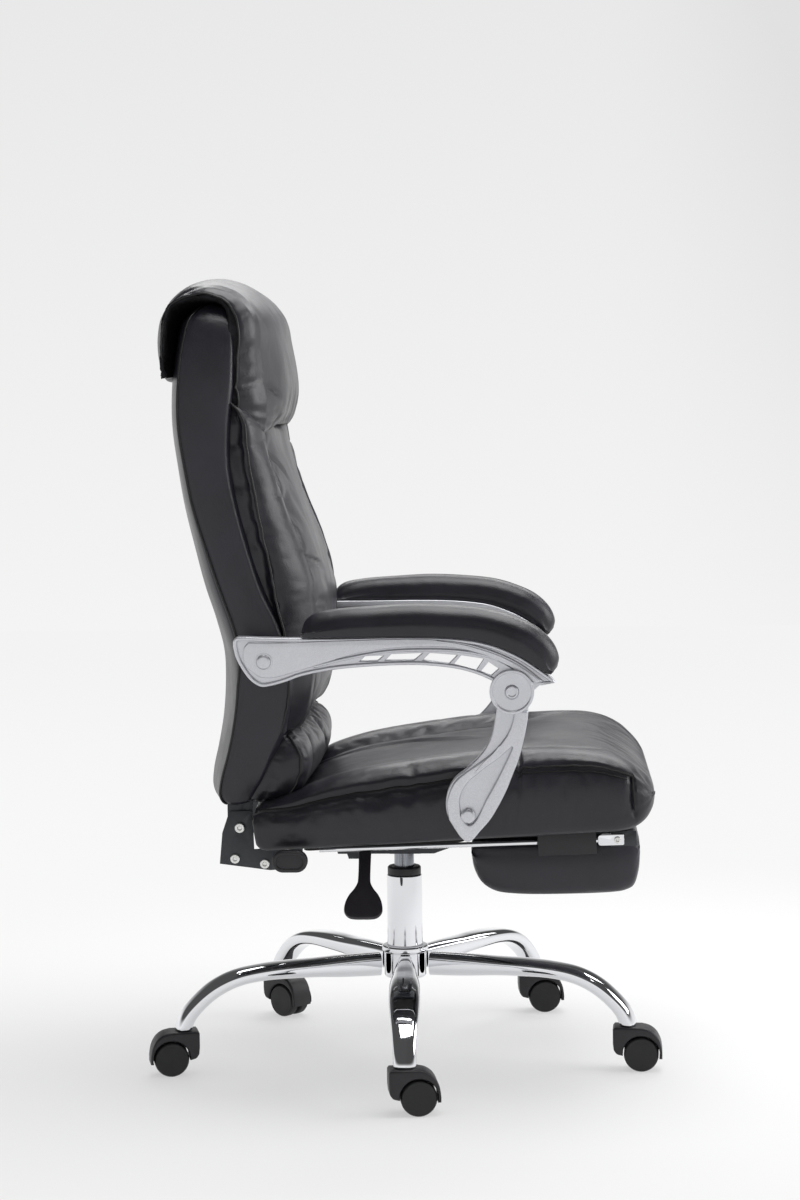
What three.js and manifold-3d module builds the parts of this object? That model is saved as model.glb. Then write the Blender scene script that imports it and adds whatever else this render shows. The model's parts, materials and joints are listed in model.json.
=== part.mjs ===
// Reclining office chair with a footrest that pulls out from under the seat and turns over.
// Millimetres. +X is the way the sitter faces, +Y is the sitter's left, +Z is up.
// Pieces are built around the column's axis at floor level, and the whole chair is then moved so that
// the middle of the underside of its bounding box is the origin.
import * as THREE from "three";
import { mergeVertices } from "three/addons/utils/BufferGeometryUtils.js";
import Module from "manifold-3d";

const wasm = await Module();
wasm.setup();

const radians = THREE.MathUtils.degToRad;

// Clearances that every joint between pieces follows
const gap = 0.3;
const softGap = 1.2;
const runningGap = 0.4;
const overrun = 3;

// Star base
const legCount = 5;
const firstLegAngle = radians(-87.7);
const stemCircleRadius = 325;
const legRise = 74;
const hubRadius = 30;
const hubLipRadius = 33;
const hubLipHeight = 8;
const hubHeight = 45;
const hubDropBelowLegs = 23;

// Casters
const wheelDiameter = 48;
const wheelWidth = 16;
const wheelRimRound = 3;
const wheelDish = 1.5;
const axleDiameter = 8;
const webThickness = 7;
const casterTrail = 17;
const casterHeight = 62;
const hoodWidth = 37;
const hoodNose = 29;
const hoodHeel = 39;
const hoodTipDrop = 6;
const hoodHeelDrop = 2;
const hoodWheelGap = 1.6;
const stemDiameter = 11;
const stemLength = 12;
const casterHeadings = [8, -3, 5, -41, 193].map(radians);

// Gas column
const tubeDiameter = 50;
const tubeWall = 3;
const tubeHeight = 146;
const collarHeight = 12;
const collarInset = 1.5;
const pistonDiameter = 28;
const pistonShowing = 17;
const pistonInTube = 130;

// Control box under the seat
const bossDiameter = 58;
const bossHeight = 11;
const bossWall = 4;
const boxBehind = 100;
const boxAhead = 80;
const boxHalfWidth = 70;
const boxCorner = 14;

// Lift lever
const leverBehindColumn = 48;
const leverRodDiameter = 9;
const leverPocketDepth = 15;
const leverPocketGap = 4;
const leverReach = 48;
const leverDropShank = 36;
const leverDropPaddle = 47;
const leverShankOut = 26;
const leverPaddleOut = 40;
const leverShankWidth = 17;
const leverPaddleWidth = 52;
const leverThickness = 7;

// Seat
const seatTilt = radians(3);
const seatAboveBox = 43;
const seatRear = -188;
const seatThickness = 115;
const seatWidth = 510;
const seatTopRound = 50;
const seatTopDrop = 21;
const seatBottomRound = 14;
const seatDip = 16;
const seatSeamDepth = 3;
const boardThickness = 12;
const boardRearInset = 60;
const boardAheadOfBox = 10;
const boardClearOfRail = 8;
const boardCorner = 12;

// Backrest, measured from the recline pivot
const pivotBehindSeat = 23;
const pivotAboveBoard = 16;
const backBehindPivot = 72;
const backAbovePivot = 32;
const backHeight = 670;
const backReach = 152;
const backBesideBracket = 42;
const backEdgeRound = 10;
const backBulgeTop = 25;
const backBulgeWaist = 35;
const padInsideBack = 16;
const padEdgeRound = 24;
const padDish = 8;
const padSink = 12;
const lumbarInsideBack = 20;
const lumbarEdgeRound = 16;
const lumbarCrown = 6;
const pillowInsideBack = 20;
const pillowEdgeRound = 9;
const pillowCrown = 27;

// Recline brackets, bolts and handle
const bracketThickness = 5;
const bracketBesideRail = 3;
const bracketLength = 100;
const bracketDepth = 60;
const bracketFlangeWidth = 30;
const hingePlateRadius = 19.5;
const hingeStrapWidth = 34;
const hingeStrapInBack = 36;
const pivotBoltDiameter = 9.4;
const boltHeadDiameter = 13.4;
const boltHeadHeight = 4;
const rodFromPivotX = 64;
const rodFromPivotZ = -34;
const reclineRodDiameter = 10;
const reclineNutDiameter = 13.4;
const handleLength = 47;
const handleHeight = 29;
const handleThickness = 16;
const handleSideClearance = 4;

// Arms, measured from the rear arm bolt
const armBoltAheadOfPivot = 45;
const armBoltAbovePivot = 233;
const armLength = 388;
const armHeight = 74;
const armThickness = 22;
const armPadWidth = 56;
const armPadEdgeRound = 17;
const armPadInset = 6;
const linkBoltAheadOfSeatRear = 286;
const linkBoltAboveBoard = 43;
const linkThickness = 17;
const linkClearOfSeat = 9;
const linkHeadRadius = 24;
const armLugThickness = 11;
const armLugRadius = 26;
const jointPinDiameter = 12;
const jointPinPlay = 5;
const discDiameter = 58;
const discThickness = 8;
const armPinDiameter = 12;
const armPinInBack = 18;
const capDiameter = 18.5;
const capHeight = 3;

// Footrest
const railTilt = radians(1.75);
const hingeBehindSeatFront = 53;
const railBelowSeat = 18.3;
const railDiameter = 7;
const railClearOfBracket = 5.6;
const railBesidePad = 19;
const barLength = 36;
const barHeight = 15;
const barThickness = 4;
const barNose = 9;
const sleeveLength = 78;
const sleeveBehindHinge = 28.5;
const sleeveWidth = 20;
const sleeveBelowRail = 17;
const footPadLength = 228;
const footPadBehindHinge = 197;
const footPadClearOfBox = 18;
const footPadThickness = 85;
const footPadBelowHinge = 78;
const footPadWidth = 352;
const footPadEdgeRound = 18;
const footBoardThickness = 5;
const footBoardInset = 14;
const footEarThickness = 4;
const footEarLength = 34;
const footEarHeight = 20;
const hingeBoltDiameter = 7;
const hingeBoltHead = 12.6;

// Colours as they show, with each finish's roughness and metalness
function finish(color, roughness, metalness) {
  return new THREE.MeshStandardMaterial({ color, roughness, metalness });
}
const blackLeather = finish(0x2a2a2d, 0.42, 0);
const satinSilver = finish(0xc4c5c9, 0.38, 0.55);
const polishedChrome = finish(0xdcdde0, 0.07, 1);
const zincPlate = finish(0xb9bcbf, 0.3, 0.9);
const darkPaint = finish(0x33383b, 0.5, 0.4);
const blackPlastic = finish(0x242427, 0.5, 0);
const blackBoard = finish(0x1c1c1e, 0.8, 0);

// Solids are joined and cut as manifolds and handed back as plain geometry
function toSolid(geometry) {
  const bare = geometry.clone();
  bare.deleteAttribute("normal");
  bare.deleteAttribute("uv");
  const merged = mergeVertices(bare);
  const mesh = new wasm.Mesh({
    numProp: 3,
    vertProperties: new Float32Array(merged.attributes.position.array),
    triVerts: new Uint32Array(merged.index.array),
  });
  return new wasm.Manifold(mesh);
}

function toGeometry(solid) {
  const mesh = solid.getMesh();
  const geometry = new THREE.BufferGeometry();
  geometry.setAttribute("position", new THREE.BufferAttribute(new Float32Array(mesh.vertProperties), 3));
  geometry.setIndex(new THREE.BufferAttribute(new Uint32Array(mesh.triVerts), 1));
  return geometry;
}

function cut(geometry, cutters) {
  return toGeometry(cutters.reduce((solid, cutter) => solid.subtract(toSolid(cutter)), toSolid(geometry)));
}

function join(geometries) {
  const [first, ...others] = geometries.map(toSolid);
  return toGeometry(others.reduce((solid, other) => solid.add(other), first));
}

// A flat plate: an outline drawn in X and Z, as thick as the stretch of Y that it fills
function plate(outline, sideA, sideB, steps = 6) {
  const low = Math.min(sideA, sideB);
  const high = Math.max(sideA, sideB);
  const geometry = new THREE.ExtrudeGeometry(outline, { depth: high - low, bevelEnabled: false, curveSegments: steps });
  geometry.rotateX(Math.PI / 2);
  geometry.translate(0, high, 0);
  return geometry;
}

// A round bar across the chair
function crossBar(radius, sideA, sideB, x, z, sides = 14) {
  const geometry = new THREE.CylinderGeometry(radius, radius, Math.abs(sideB - sideA), sides);
  geometry.translate(x, (sideA + sideB) / 2, z);
  return geometry;
}

function uprightBar(radius, low, high, x, y, sides = 20) {
  const geometry = new THREE.CylinderGeometry(radius, radius, high - low, sides);
  geometry.rotateX(Math.PI / 2);
  geometry.translate(x, y, (low + high) / 2);
  return geometry;
}

// Points on a circle from one angle to another, for outlines
function arcPoints(centre, radius, from, to, count) {
  return Array.from({ length: count }, (_, i) => {
    const angle = from + ((to - from) * i) / (count - 1);
    return new THREE.Vector2(centre.x + radius * Math.cos(angle), centre.y + radius * Math.sin(angle));
  });
}

// A stretch of Y on one side of the chair
function span(side, near, far) {
  return side < 0 ? [-far, -near] : [near, far];
}

function block(xRange, yRange, zRange) {
  const size = [xRange, yRange, zRange].map(([low, high]) => high - low);
  const middle = [xRange, yRange, zRange].map(([low, high]) => (low + high) / 2);
  return new THREE.BoxGeometry(...size).translate(...middle);
}

// A turned piece about the Z axis
function turned(profile, segments) {
  const points = profile.map(([radius, height]) => new THREE.Vector2(radius, height));
  const geometry = new THREE.LatheGeometry(points, segments);
  geometry.rotateX(Math.PI / 2);
  return facingOut(geometry);
}

function signedVolume(geometry) {
  const flat = geometry.index ? geometry.toNonIndexed() : geometry;
  const place = flat.attributes.position;
  const corner = [new THREE.Vector3(), new THREE.Vector3(), new THREE.Vector3()];
  let total = 0;
  for (let i = 0; i < place.count; i += 3) {
    corner.forEach((point, k) => point.fromBufferAttribute(place, i + k));
    total += corner[0].dot(corner[1].clone().cross(corner[2])) / 6;
  }
  return total;
}

function facingOut(geometry) {
  if (signedVolume(geometry) < 0) {
    const order = geometry.index.array;
    for (let i = 0; i < order.length; i += 3) {
      [order[i + 1], order[i + 2]] = [order[i + 2], order[i + 1]];
    }
  }
  return geometry;
}

function smoothStep(low, high, value) {
  const share = THREE.MathUtils.clamp((value - low) / (high - low), 0, 1);
  return share * share * (3 - 2 * share);
}

// Steps across a form from -1 to 1, closer together where its edge turns
function acrossSteps(edgeShare, innerCount, edgeCount) {
  const inner = 1 - edgeShare;
  const edge = Array.from({ length: edgeCount }, (_, i) => {
    return inner + edgeShare * Math.sin(((i + 1) / edgeCount) * (Math.PI / 2));
  });
  const middle = Array.from({ length: innerCount + 1 }, (_, i) => inner * ((2 * i) / innerCount - 1));
  return [...edge.map((s) => -s).reverse(), ...middle, ...edge];
}

// A soft form. Each row of the profile is a pair of points, one on its lower or rear skin and one on
// its upper or front skin, and the share of the half width that the form has there. The skins run
// through the points, the edge is rounded, and each skin may swell or sink by an offset.
function softForm(form) {
  const { rows, alongCount, halfWidth, edgeRound, innerCount, lowerSwell, upperSwell } = form;
  const { edgeDrop = edgeRound, lowerRound = edgeRound, grow = 0 } = form;
  const lowerLine = new THREE.CatmullRomCurve3(rows.map((row) => new THREE.Vector3(row[0], 0, row[1])));
  const upperLine = new THREE.CatmullRomCurve3(rows.map((row) => new THREE.Vector3(row[2], 0, row[3])));
  const widthLine = new THREE.CatmullRomCurve3(rows.map((row, i) => new THREE.Vector3(i, row[4], 0)));
  const edgeShare = edgeRound / halfWidth;
  const across = acrossSteps(edgeShare, innerCount, 3);
  const along = Array.from({ length: alongCount }, (_, i) => i / (alongCount - 1));
  const places = [];
  for (const s of across) {
    const upperInset = edgeInset(edgeRound, halfWidth, s) * (edgeDrop / edgeRound);
    const lowerInset = edgeInset(lowerRound, halfWidth, s);
    const lowerSkin = [];
    const upperSkin = [];
    for (const t of along) {
      const lower = lowerLine.getPoint(t);
      const upper = upperLine.getPoint(t);
      const thickness = upper.clone().sub(lower);
      const reach = thickness.length();
      thickness.normalize();
      const most = thinnestShare * reach;
      const outward = endDirection(t, lowerLine, upperLine, along).multiplyScalar(grow);
      lower.addScaledVector(thickness, Math.min(lowerInset, most) - lowerSwell(t, s) - grow).add(outward);
      upper.addScaledVector(thickness, upperSwell(t, s) - Math.min(upperInset, most) + grow).add(outward);
      const y = s * (halfWidth * widthLine.getPoint(t).y + grow);
      lowerSkin.push([lower.x, y, lower.z]);
      upperSkin.push([upper.x, y, upper.z]);
    }
    places.push([...lowerSkin, ...upperSkin.reverse()]);
  }
  return ringsToGeometry(places);
}

// How far a rounded edge draws a skin in at a step across the form
const thinnestShare = 0.42;

function edgeInset(radius, halfWidth, s) {
  const turn = Math.max(0, (Math.abs(s) * halfWidth - halfWidth + radius) / radius);
  return radius * (1 - Math.sqrt(Math.max(0, 1 - turn * turn)));
}

// At the two ends of a form, the way out along its length
function endDirection(t, lowerLine, upperLine, along) {
  const step = along[1] - along[0];
  const middle = (share) => lowerLine.getPoint(share).add(upperLine.getPoint(share)).multiplyScalar(1 / 2);
  if (t === 0) {
    return middle(0).sub(middle(step)).normalize();
  }
  if (t === 1) {
    return middle(1).sub(middle(1 - step)).normalize();
  }
  return new THREE.Vector3();
}

// Rings of places joined into one skin, with each end ring closed by a strip between its halves
function ringsToGeometry(rings) {
  const count = rings[0].length;
  const order = [];
  for (let r = 0; r + 1 < rings.length; r++) {
    for (let i = 0; i < count; i++) {
      const next = (i + 1) % count;
      const [a, b, c, d] = [r * count + i, r * count + next, (r + 1) * count + next, (r + 1) * count + i];
      order.push(a, b, c, a, c, d);
    }
  }
  const last = (rings.length - 1) * count;
  for (let i = 0; i < count / 2 - 1; i++) {
    const [a, b, c, d] = [i, i + 1, count - 2 - i, count - 1 - i];
    order.push(a, d, c, a, c, b);
    order.push(last + a, last + c, last + d, last + a, last + b, last + c);
  }
  const geometry = new THREE.BufferGeometry();
  geometry.setAttribute("position", new THREE.Float32BufferAttribute(rings.flat(2), 3));
  geometry.setIndex(order);
  return facingOut(geometry);
}

function noSwell() {
  return 0;
}

// An outline through points given as shares of a length and a height from a corner
function outlineFrom(shares, corner, length, height) {
  return shares.map(([x, z]) => new THREE.Vector2(corner.x + x * length, corner.y + z * height));
}

function addPiece(parent, name, geometry, material) {
  const local = geometry.clone();
  parent.updateWorldMatrix(true, false);
  local.applyMatrix4(parent.matrixWorld.clone().invert());
  local.computeVertexNormals();
  const mesh = new THREE.Mesh(local, material);
  mesh.name = name;
  parent.add(mesh);
}

function addLocalPiece(parent, name, geometry, material) {
  geometry.computeVertexNormals();
  const mesh = new THREE.Mesh(geometry, material);
  mesh.name = name;
  parent.add(mesh);
}

function addGroup(parent, name, x, y, z) {
  const group = new THREE.Group();
  group.name = name;
  group.position.set(x, y, z);
  parent.add(group);
  return group;
}

const chair = new THREE.Group();
const sides = [["right", -1], ["left", 1]];

// Heights that stack up from the floor
const wheelRadius = wheelDiameter / 2;
const hubBottom = casterHeight + legRise - hubDropBelowLegs;
const hubTop = hubBottom + hubHeight;
const tubeTop = hubBottom + tubeHeight;
const collarTop = tubeTop + collarHeight;
const bossBottom = collarTop + pistonShowing;
const boxBottom = bossBottom + bossHeight;
const seatBoardHeight = boxBottom + seatAboveBox;

// Star base: hub and five pressed legs
function hubProfile(extra) {
  const bore = tubeDiameter / 2 + gap;
  return [
    [bore, hubBottom],
    [hubRadius - hubLipHeight / 4 + extra, hubBottom],
    [hubRadius + extra, hubTop - hubLipHeight - gap],
    [hubLipRadius + extra, hubTop - hubLipHeight],
    [hubLipRadius + extra, hubTop - gap],
    [bore, hubTop],
    [bore, hubBottom],
  ];
}

// Middle of a leg as shares of the stem circle's radius and of the leg's rise, then half thickness
// and half width as shares of the hub's radius
const legShares = [
  [0.06, 0.955, 0.54, 0.4],
  [0.16, 0.96, 0.54, 0.42],
  [0.3, 0.973, 0.5, 0.52],
  [0.42, 0.985, 0.42, 0.62],
  [0.54, 0.99, 0.39, 0.7],
  [0.655, 0.973, 0.35, 0.72],
  [0.769, 0.895, 0.35, 0.7],
  [0.862, 0.716, 0.35, 0.64],
  [0.932, 0.473, 0.35, 0.57],
  [0.978, 0.243, 0.36, 0.53],
  [1, 0, 0.37, 0.51],
];
const legSections = 12;
const legSides = 12;
const ovalPower = 2.5;

function legGeometry() {
  const line = new THREE.CatmullRomCurve3(
    legShares.map(([r, z]) => new THREE.Vector3(r * stemCircleRadius, 0, casterHeight + z * legRise)),
  );
  const size = new THREE.CatmullRomCurve3(
    legShares.map(([, , thick, wide], i) => new THREE.Vector3(thick * hubRadius, wide * hubRadius, i)),
  );
  const rings = [];
  for (let i = 0; i < legSections; i++) {
    const share = i / (legSections - 1);
    const middle = line.getPoint(share);
    const { x: thick, y: wide } = size.getPoint(share);
    const ahead = i === legSections - 1 ? new THREE.Vector3(0, 0, -1) : line.getTangent(share);
    const up = new THREE.Vector3(0, -1, 0).cross(ahead).normalize();
    const ring = [];
    for (let k = 0; k < legSides; k++) {
      const angle = ((k + 0.5) / legSides) * 2 * Math.PI - Math.PI / 2;
      const side = Math.sign(Math.cos(angle)) * Math.abs(Math.cos(angle)) ** (2 / ovalPower) * wide;
      const rise = Math.sign(Math.sin(angle)) * Math.abs(Math.sin(angle)) ** (2 / ovalPower) * thick;
      const place = middle.clone().addScaledVector(up, rise);
      ring.push([place.x, side, place.z]);
    }
    rings.push(ring);
  }
  const hubCutter = turned([[0, hubBottom - overrun], ...hubProfile(gap).slice(1, -2), [0, hubTop]], 40);
  const below = uprightBar(hubRadius + gap, hubBottom - hubDropBelowLegs, hubBottom + gap, 0, 0, 40);
  const socket = uprightBar(stemDiameter / 2 + gap, 0, casterHeight + stemLength + gap, stemCircleRadius, 0);
  return cut(ringsToGeometry(rings), [hubCutter, below, socket]);
}

function addBase() {
  addPiece(chair, "base_hub", turned(hubProfile(0), 24), polishedChrome);
  const leg = legGeometry();
  for (let k = 0; k < legCount; k++) {
    const turnedLeg = leg.clone().rotateZ(firstLegAngle + (k / legCount) * 2 * Math.PI);
    addPiece(chair, `base_leg_${k + 1}`, turnedLeg, polishedChrome);
  }
}

// Casters: a hood with its stem, and a pair of wheels on one axle, which trail behind the stem
const wheelSegments = 20;
const webGap = (hoodWidth - webThickness) / 2;

function hoodGeometry() {
  const crown = casterHeight - gap - wheelRadius;
  const clear = wheelRadius + hoodWheelGap;
  const neckFront = -casterTrail + stemDiameter * 1.6;
  const arch = new THREE.Shape();
  arch.moveTo(hoodNose, -hoodTipDrop);
  arch.bezierCurveTo(hoodNose, crown * 0.35, hoodNose * 0.75, crown * 0.98, neckFront, crown);
  arch.lineTo(-hoodHeel, crown);
  arch.lineTo(-hoodHeel, crown * 0.35);
  arch.quadraticCurveTo(-hoodHeel, 0, -clear, -hoodHeelDrop);
  const heelAngle = Math.PI + Math.asin(hoodHeelDrop / clear);
  arch.absarc(0, 0, clear, heelAngle, -Math.asin(hoodTipDrop / clear), true);
  const web = new THREE.Shape();
  const webRadius = axleDiameter;
  web.moveTo(-clear * 0.7, clear * 0.9);
  web.lineTo(-webRadius, 0);
  web.absarc(0, 0, webRadius, Math.PI, 2 * Math.PI, false);
  web.lineTo(webRadius, clear * 1.02);
  const stem = uprightBar(stemDiameter / 2, crown - overrun, crown + stemLength, -casterTrail, 0, 12);
  const solid = join([
    plate(arch, -hoodWidth / 2, hoodWidth / 2),
    plate(web, -webThickness / 2, webThickness / 2),
    stem,
  ]);
  return cut(solid, [crossBar(axleDiameter / 2 + gap, -hoodWidth, hoodWidth, 0, 0)]);
}

function wheelsGeometry() {
  const inner = webThickness / 2 + gap;
  const outer = inner + wheelWidth;
  const axle = axleDiameter / 2;
  // The flats between the wheel's corners reach the floor
  const rim = wheelRadius / Math.cos(Math.PI / wheelSegments);
  const half = [
    [0, outer - wheelDish],
    [rim - wheelRimRound, outer - wheelDish],
    [rim, outer - wheelRimRound],
    [rim, inner],
    [axle, inner],
  ];
  const profile = [...half, ...half.map(([radius, side]) => [radius, -side]).reverse()];
  const geometry = turned(profile, wheelSegments);
  geometry.rotateX(-Math.PI / 2);
  geometry.rotateY(Math.PI / wheelSegments);
  return geometry;
}

function addCasters() {
  for (let k = 0; k < legCount; k++) {
    const angle = firstLegAngle + (k / legCount) * 2 * Math.PI;
    const x = stemCircleRadius * Math.cos(angle);
    const y = stemCircleRadius * Math.sin(angle);
    const caster = addGroup(chair, `caster_${k + 1}_pivot`, x, y, wheelRadius);
    caster.rotation.z = casterHeadings[k];
    const axle = addGroup(caster, `wheel_${k + 1}_pivot`, casterTrail, 0, 0);
    const hood = hoodGeometry().translate(casterTrail, 0, 0);
    addLocalPiece(caster, `caster_hood_${k + 1}`, hood, blackPlastic);
    addLocalPiece(axle, `caster_wheels_${k + 1}`, wheelsGeometry(), blackPlastic);
  }
}

// Gas column: outer tube in the hub, a collar on top of it, and the piston that carries the seat
function addColumn() {
  const bore = tubeDiameter / 2 - tubeWall;
  const tube = [
    [bore, hubBottom],
    [tubeDiameter / 2, hubBottom],
    [tubeDiameter / 2, tubeTop],
    [bore, tubeTop],
    [bore, hubBottom],
  ];
  addPiece(chair, "column_tube", turned(tube, 24), polishedChrome);
  const pistonBore = pistonDiameter / 2 + gap;
  const collarRadius = tubeDiameter / 2 - collarInset;
  const plug = bore - gap;
  const collar = [
    [pistonBore, tubeTop - collarHeight],
    [plug, tubeTop - collarHeight],
    [plug, tubeTop + gap],
    [collarRadius, tubeTop + gap],
    [collarRadius, collarTop - collarInset],
    [collarRadius - collarInset, collarTop],
    [pistonBore, collarTop],
    [pistonBore, tubeTop - collarHeight],
  ];
  addPiece(chair, "column_collar", turned(collar, 20), blackPlastic);
}

const lift = addGroup(chair, "lift_pivot", 0, 0, 0);
const swivel = addGroup(lift, "swivel_pivot", 0, 0, 0);
const seat = addGroup(swivel, "seat_frame", 0, 0, seatBoardHeight);
seat.rotation.y = -seatTilt;

function addPiston() {
  const top = boxBottom + (seatBoardHeight - boardThickness - boxBottom) / 2;
  const piston = uprightBar(pistonDiameter / 2, tubeTop - pistonInTube, top, 0, 0, 28);
  addPiece(lift, "gas_piston", piston, polishedChrome);
}

// Seat board and control box. The board lies on the tilted underside of the cushion
const boardTop = -gap;
const boardBottom = boardTop - boardThickness;
const boardRear = seatRear + boardRearInset;
const hingeX = boxAhead + footPadClearOfBox + footPadBehindHinge;
const seatFront = hingeX + hingeBehindSeatFront;
const seatLength = seatFront - seatRear;
const railFromMiddle = footPadWidth / 2 + railBesidePad;
const bracketFromMiddle = railFromMiddle + bracketBesideRail;
const backWidth = 2 * (bracketFromMiddle + backBesideBracket);
const padWidth = backWidth - 2 * padInsideBack;
const lumbarWidth = backWidth - 2 * lumbarInsideBack;
const pillowWidth = backWidth - 2 * pillowInsideBack;
const railLength = hingeX - (seatRear - pivotBehindSeat + bracketLength) - railClearOfBracket;

// All that lies above a tilted plane under the seat, to trim what seats against it
function aboveSeatPlane(height) {
  const slab = block([2 * seatRear, 2 * seatFront], [-seatWidth, seatWidth], [height, height + seatThickness]);
  seat.updateWorldMatrix(true, false);
  return slab.applyMatrix4(seat.matrixWorld);
}

function roundedRectangle(xLow, xHigh, yLow, yHigh, corner) {
  const shape = new THREE.Shape();
  shape.moveTo(xLow + corner, yLow);
  shape.lineTo(xHigh - corner, yLow);
  shape.absarc(xHigh - corner, yLow + corner, corner, -Math.PI / 2, 0, false);
  shape.lineTo(xHigh, yHigh - corner);
  shape.absarc(xHigh - corner, yHigh - corner, corner, 0, Math.PI / 2, false);
  shape.lineTo(xLow + corner, yHigh);
  shape.absarc(xLow + corner, yHigh - corner, corner, Math.PI / 2, Math.PI, false);
  shape.lineTo(xLow, yLow + corner);
  shape.absarc(xLow + corner, yLow + corner, corner, Math.PI, 1.5 * Math.PI, false);
  return shape;
}

// A level plate: an outline drawn in X and Y
function levelPlate(outline, low, high) {
  return new THREE.ExtrudeGeometry(outline, { depth: high - low, bevelEnabled: false, curveSegments: 5 })
    .translate(0, 0, low);
}

const leverPivotHeight = boxBottom + leverRodDiameter * 1.5;
const leverPivotY = -boxHalfWidth + leverPocketDepth / 2;

function addSeatFrame() {
  const boardHalf = railFromMiddle - railDiameter / 2 - boardClearOfRail;
  const board = roundedRectangle(boardRear, boxAhead + boardAheadOfBox, -boardHalf, boardHalf, boardCorner);
  addLocalPiece(seat, "seat_board", levelPlate(board, boardBottom, boardTop), blackBoard);

  const outline = roundedRectangle(-boxBehind, boxAhead, -boxHalfWidth, boxHalfWidth, boxCorner);
  const box = levelPlate(outline, boxBottom, seatBoardHeight);
  const boss = uprightBar(bossDiameter / 2, bossBottom, boxBottom + overrun, 0, 0, 32);
  const socketRadius = pistonDiameter / 2 + gap;
  const socketTop = boxBottom + (seatBoardHeight - boardThickness - boxBottom) / 2 + gap;
  const socket = uprightBar(socketRadius, bossBottom - overrun, socketTop, 0, 0, 28);
  const pocketHalf = leverRodDiameter / 2 + leverPocketGap;
  const pocket = block(
    [-leverBehindColumn - pocketHalf, -leverBehindColumn + pocketHalf],
    [-boxHalfWidth - overrun, -boxHalfWidth + leverPocketDepth],
    [leverPivotHeight - pocketHalf, leverPivotHeight + pocketHalf],
  );
  const control = cut(join([box, boss]), [socket, pocket, aboveSeatPlane(boardBottom - gap)]);
  addPiece(swivel, "control_box", control, darkPaint);
}

// Lift lever: a rod in the control box, a shank that slopes down and a paddle
function addLever() {
  const lever = addGroup(swivel, "lift_lever_pivot", -leverBehindColumn, leverPivotY, leverPivotHeight);
  const rodRadius = leverRodDiameter / 2;
  const bendY = -boxHalfWidth - leverReach;
  const trunnionHalf = rodRadius + leverPocketGap - gap;
  const trunnion = new THREE.CylinderGeometry(rodRadius, rodRadius, 2 * trunnionHalf, 16);
  trunnion.rotateZ(Math.PI / 2).translate(-leverBehindColumn, leverPivotY, leverPivotHeight);
  const rod = crossBar(rodRadius, bendY, leverPivotY, -leverBehindColumn, leverPivotHeight, 16);
  // The blade is drawn flat, as length along the slope and width, and then laid on the slope
  const shankLength = Math.hypot(leverShankOut, leverDropShank);
  const bladeLength = shankLength + Math.hypot(leverPaddleOut, leverDropPaddle);
  const blade = new THREE.Shape();
  const shankHalf = leverShankWidth / 2;
  const paddleHalf = leverPaddleWidth / 2;
  const paddleStart = shankLength + (bladeLength - shankLength) * 0.1;
  const paddleWide = shankLength + (bladeLength - shankLength) * 0.62;
  blade.moveTo(0, -shankHalf);
  blade.lineTo(paddleStart, -shankHalf);
  blade.bezierCurveTo(paddleStart * 1.2, -shankHalf, paddleWide * 0.9, -paddleHalf, paddleWide, -paddleHalf);
  blade.lineTo(bladeLength * 0.97, -paddleHalf * 0.78);
  blade.lineTo(bladeLength, -paddleHalf * 0.4);
  blade.lineTo(bladeLength * 0.98, paddleHalf * 0.6);
  blade.lineTo(bladeLength * 0.93, paddleHalf * 0.95);
  blade.lineTo(paddleWide * 0.95, paddleHalf);
  blade.bezierCurveTo(paddleWide * 0.85, paddleHalf, paddleStart * 1.2, shankHalf, paddleStart, shankHalf);
  blade.lineTo(0, shankHalf);
  const slope = Math.atan2(leverDropShank + leverDropPaddle, leverShankOut + leverPaddleOut);
  const body = levelPlate(blade, -leverThickness / 2, leverThickness / 2);
  body.rotateZ(-Math.PI / 2).rotateX(slope);
  body.translate(-leverBehindColumn, bendY + rodRadius, leverPivotHeight);
  addPiece(lever, "lift_lever", join([trunnion, rod, body]), blackPlastic);
}

// Seat cushion. Shares of the seat's length and thickness for its underside and its top, and of its
// half width: a low rear, a crest over the side bolsters, a crease, and a rolled front
const seatShares = [
  [0, 0.26, 0, 0.33, 0.93],
  [0.003, 0.1, 0.002, 0.4, 0.95],
  [0.019, 0.01, 0.013, 0.45, 0.965],
  [0.07, 0, 0.061, 0.51, 0.985],
  [0.115, 0, 0.11, 0.6, 0.99],
  [0.152, 0, 0.152, 0.72, 1],
  [0.237, 0, 0.237, 0.86, 1],
  [0.348, 0, 0.348, 0.948, 1],
  [0.459, 0, 0.459, 0.983, 1],
  [0.561, 0, 0.561, 1, 1],
  [0.62, 0, 0.626, 0.985, 1],
  [0.66, 0, 0.663, 0.925, 1],
  [0.7, 0, 0.703, 0.945, 1],
  [0.78, 0, 0.782, 0.955, 1],
  [0.857, 0, 0.844, 0.913, 0.99],
  [0.906, 0, 0.889, 0.852, 0.975],
  [0.944, 0.043, 0.931, 0.748, 0.95],
  [0.974, 0.13, 0.965, 0.626, 0.92],
  [0.993, 0.252, 0.989, 0.522, 0.89],
  [1, 0.348, 1, 0.435, 0.87],
];
const bolsterShare = 0.36;
const panelEndShare = 0.64;

function seatTopSwell(t, s) {
  const inPanel = 1 - smoothStep(1 - bolsterShare - 0.14, 1 - bolsterShare + 0.1, Math.abs(s));
  const alongPanel = 1 - smoothStep(panelEndShare - 0.14, panelEndShare + 0.04, t);
  const seam = Math.exp(-(((Math.abs(s) - (1 - bolsterShare)) / 0.05) ** 2));
  const atEnds = smoothStep(0, 0.1, t) * (1 - smoothStep(0.8, 1, t));
  return -(seatDip * inPanel * alongPanel + seatSeamDepth * seam * alongPanel) * atEnds;
}

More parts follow.
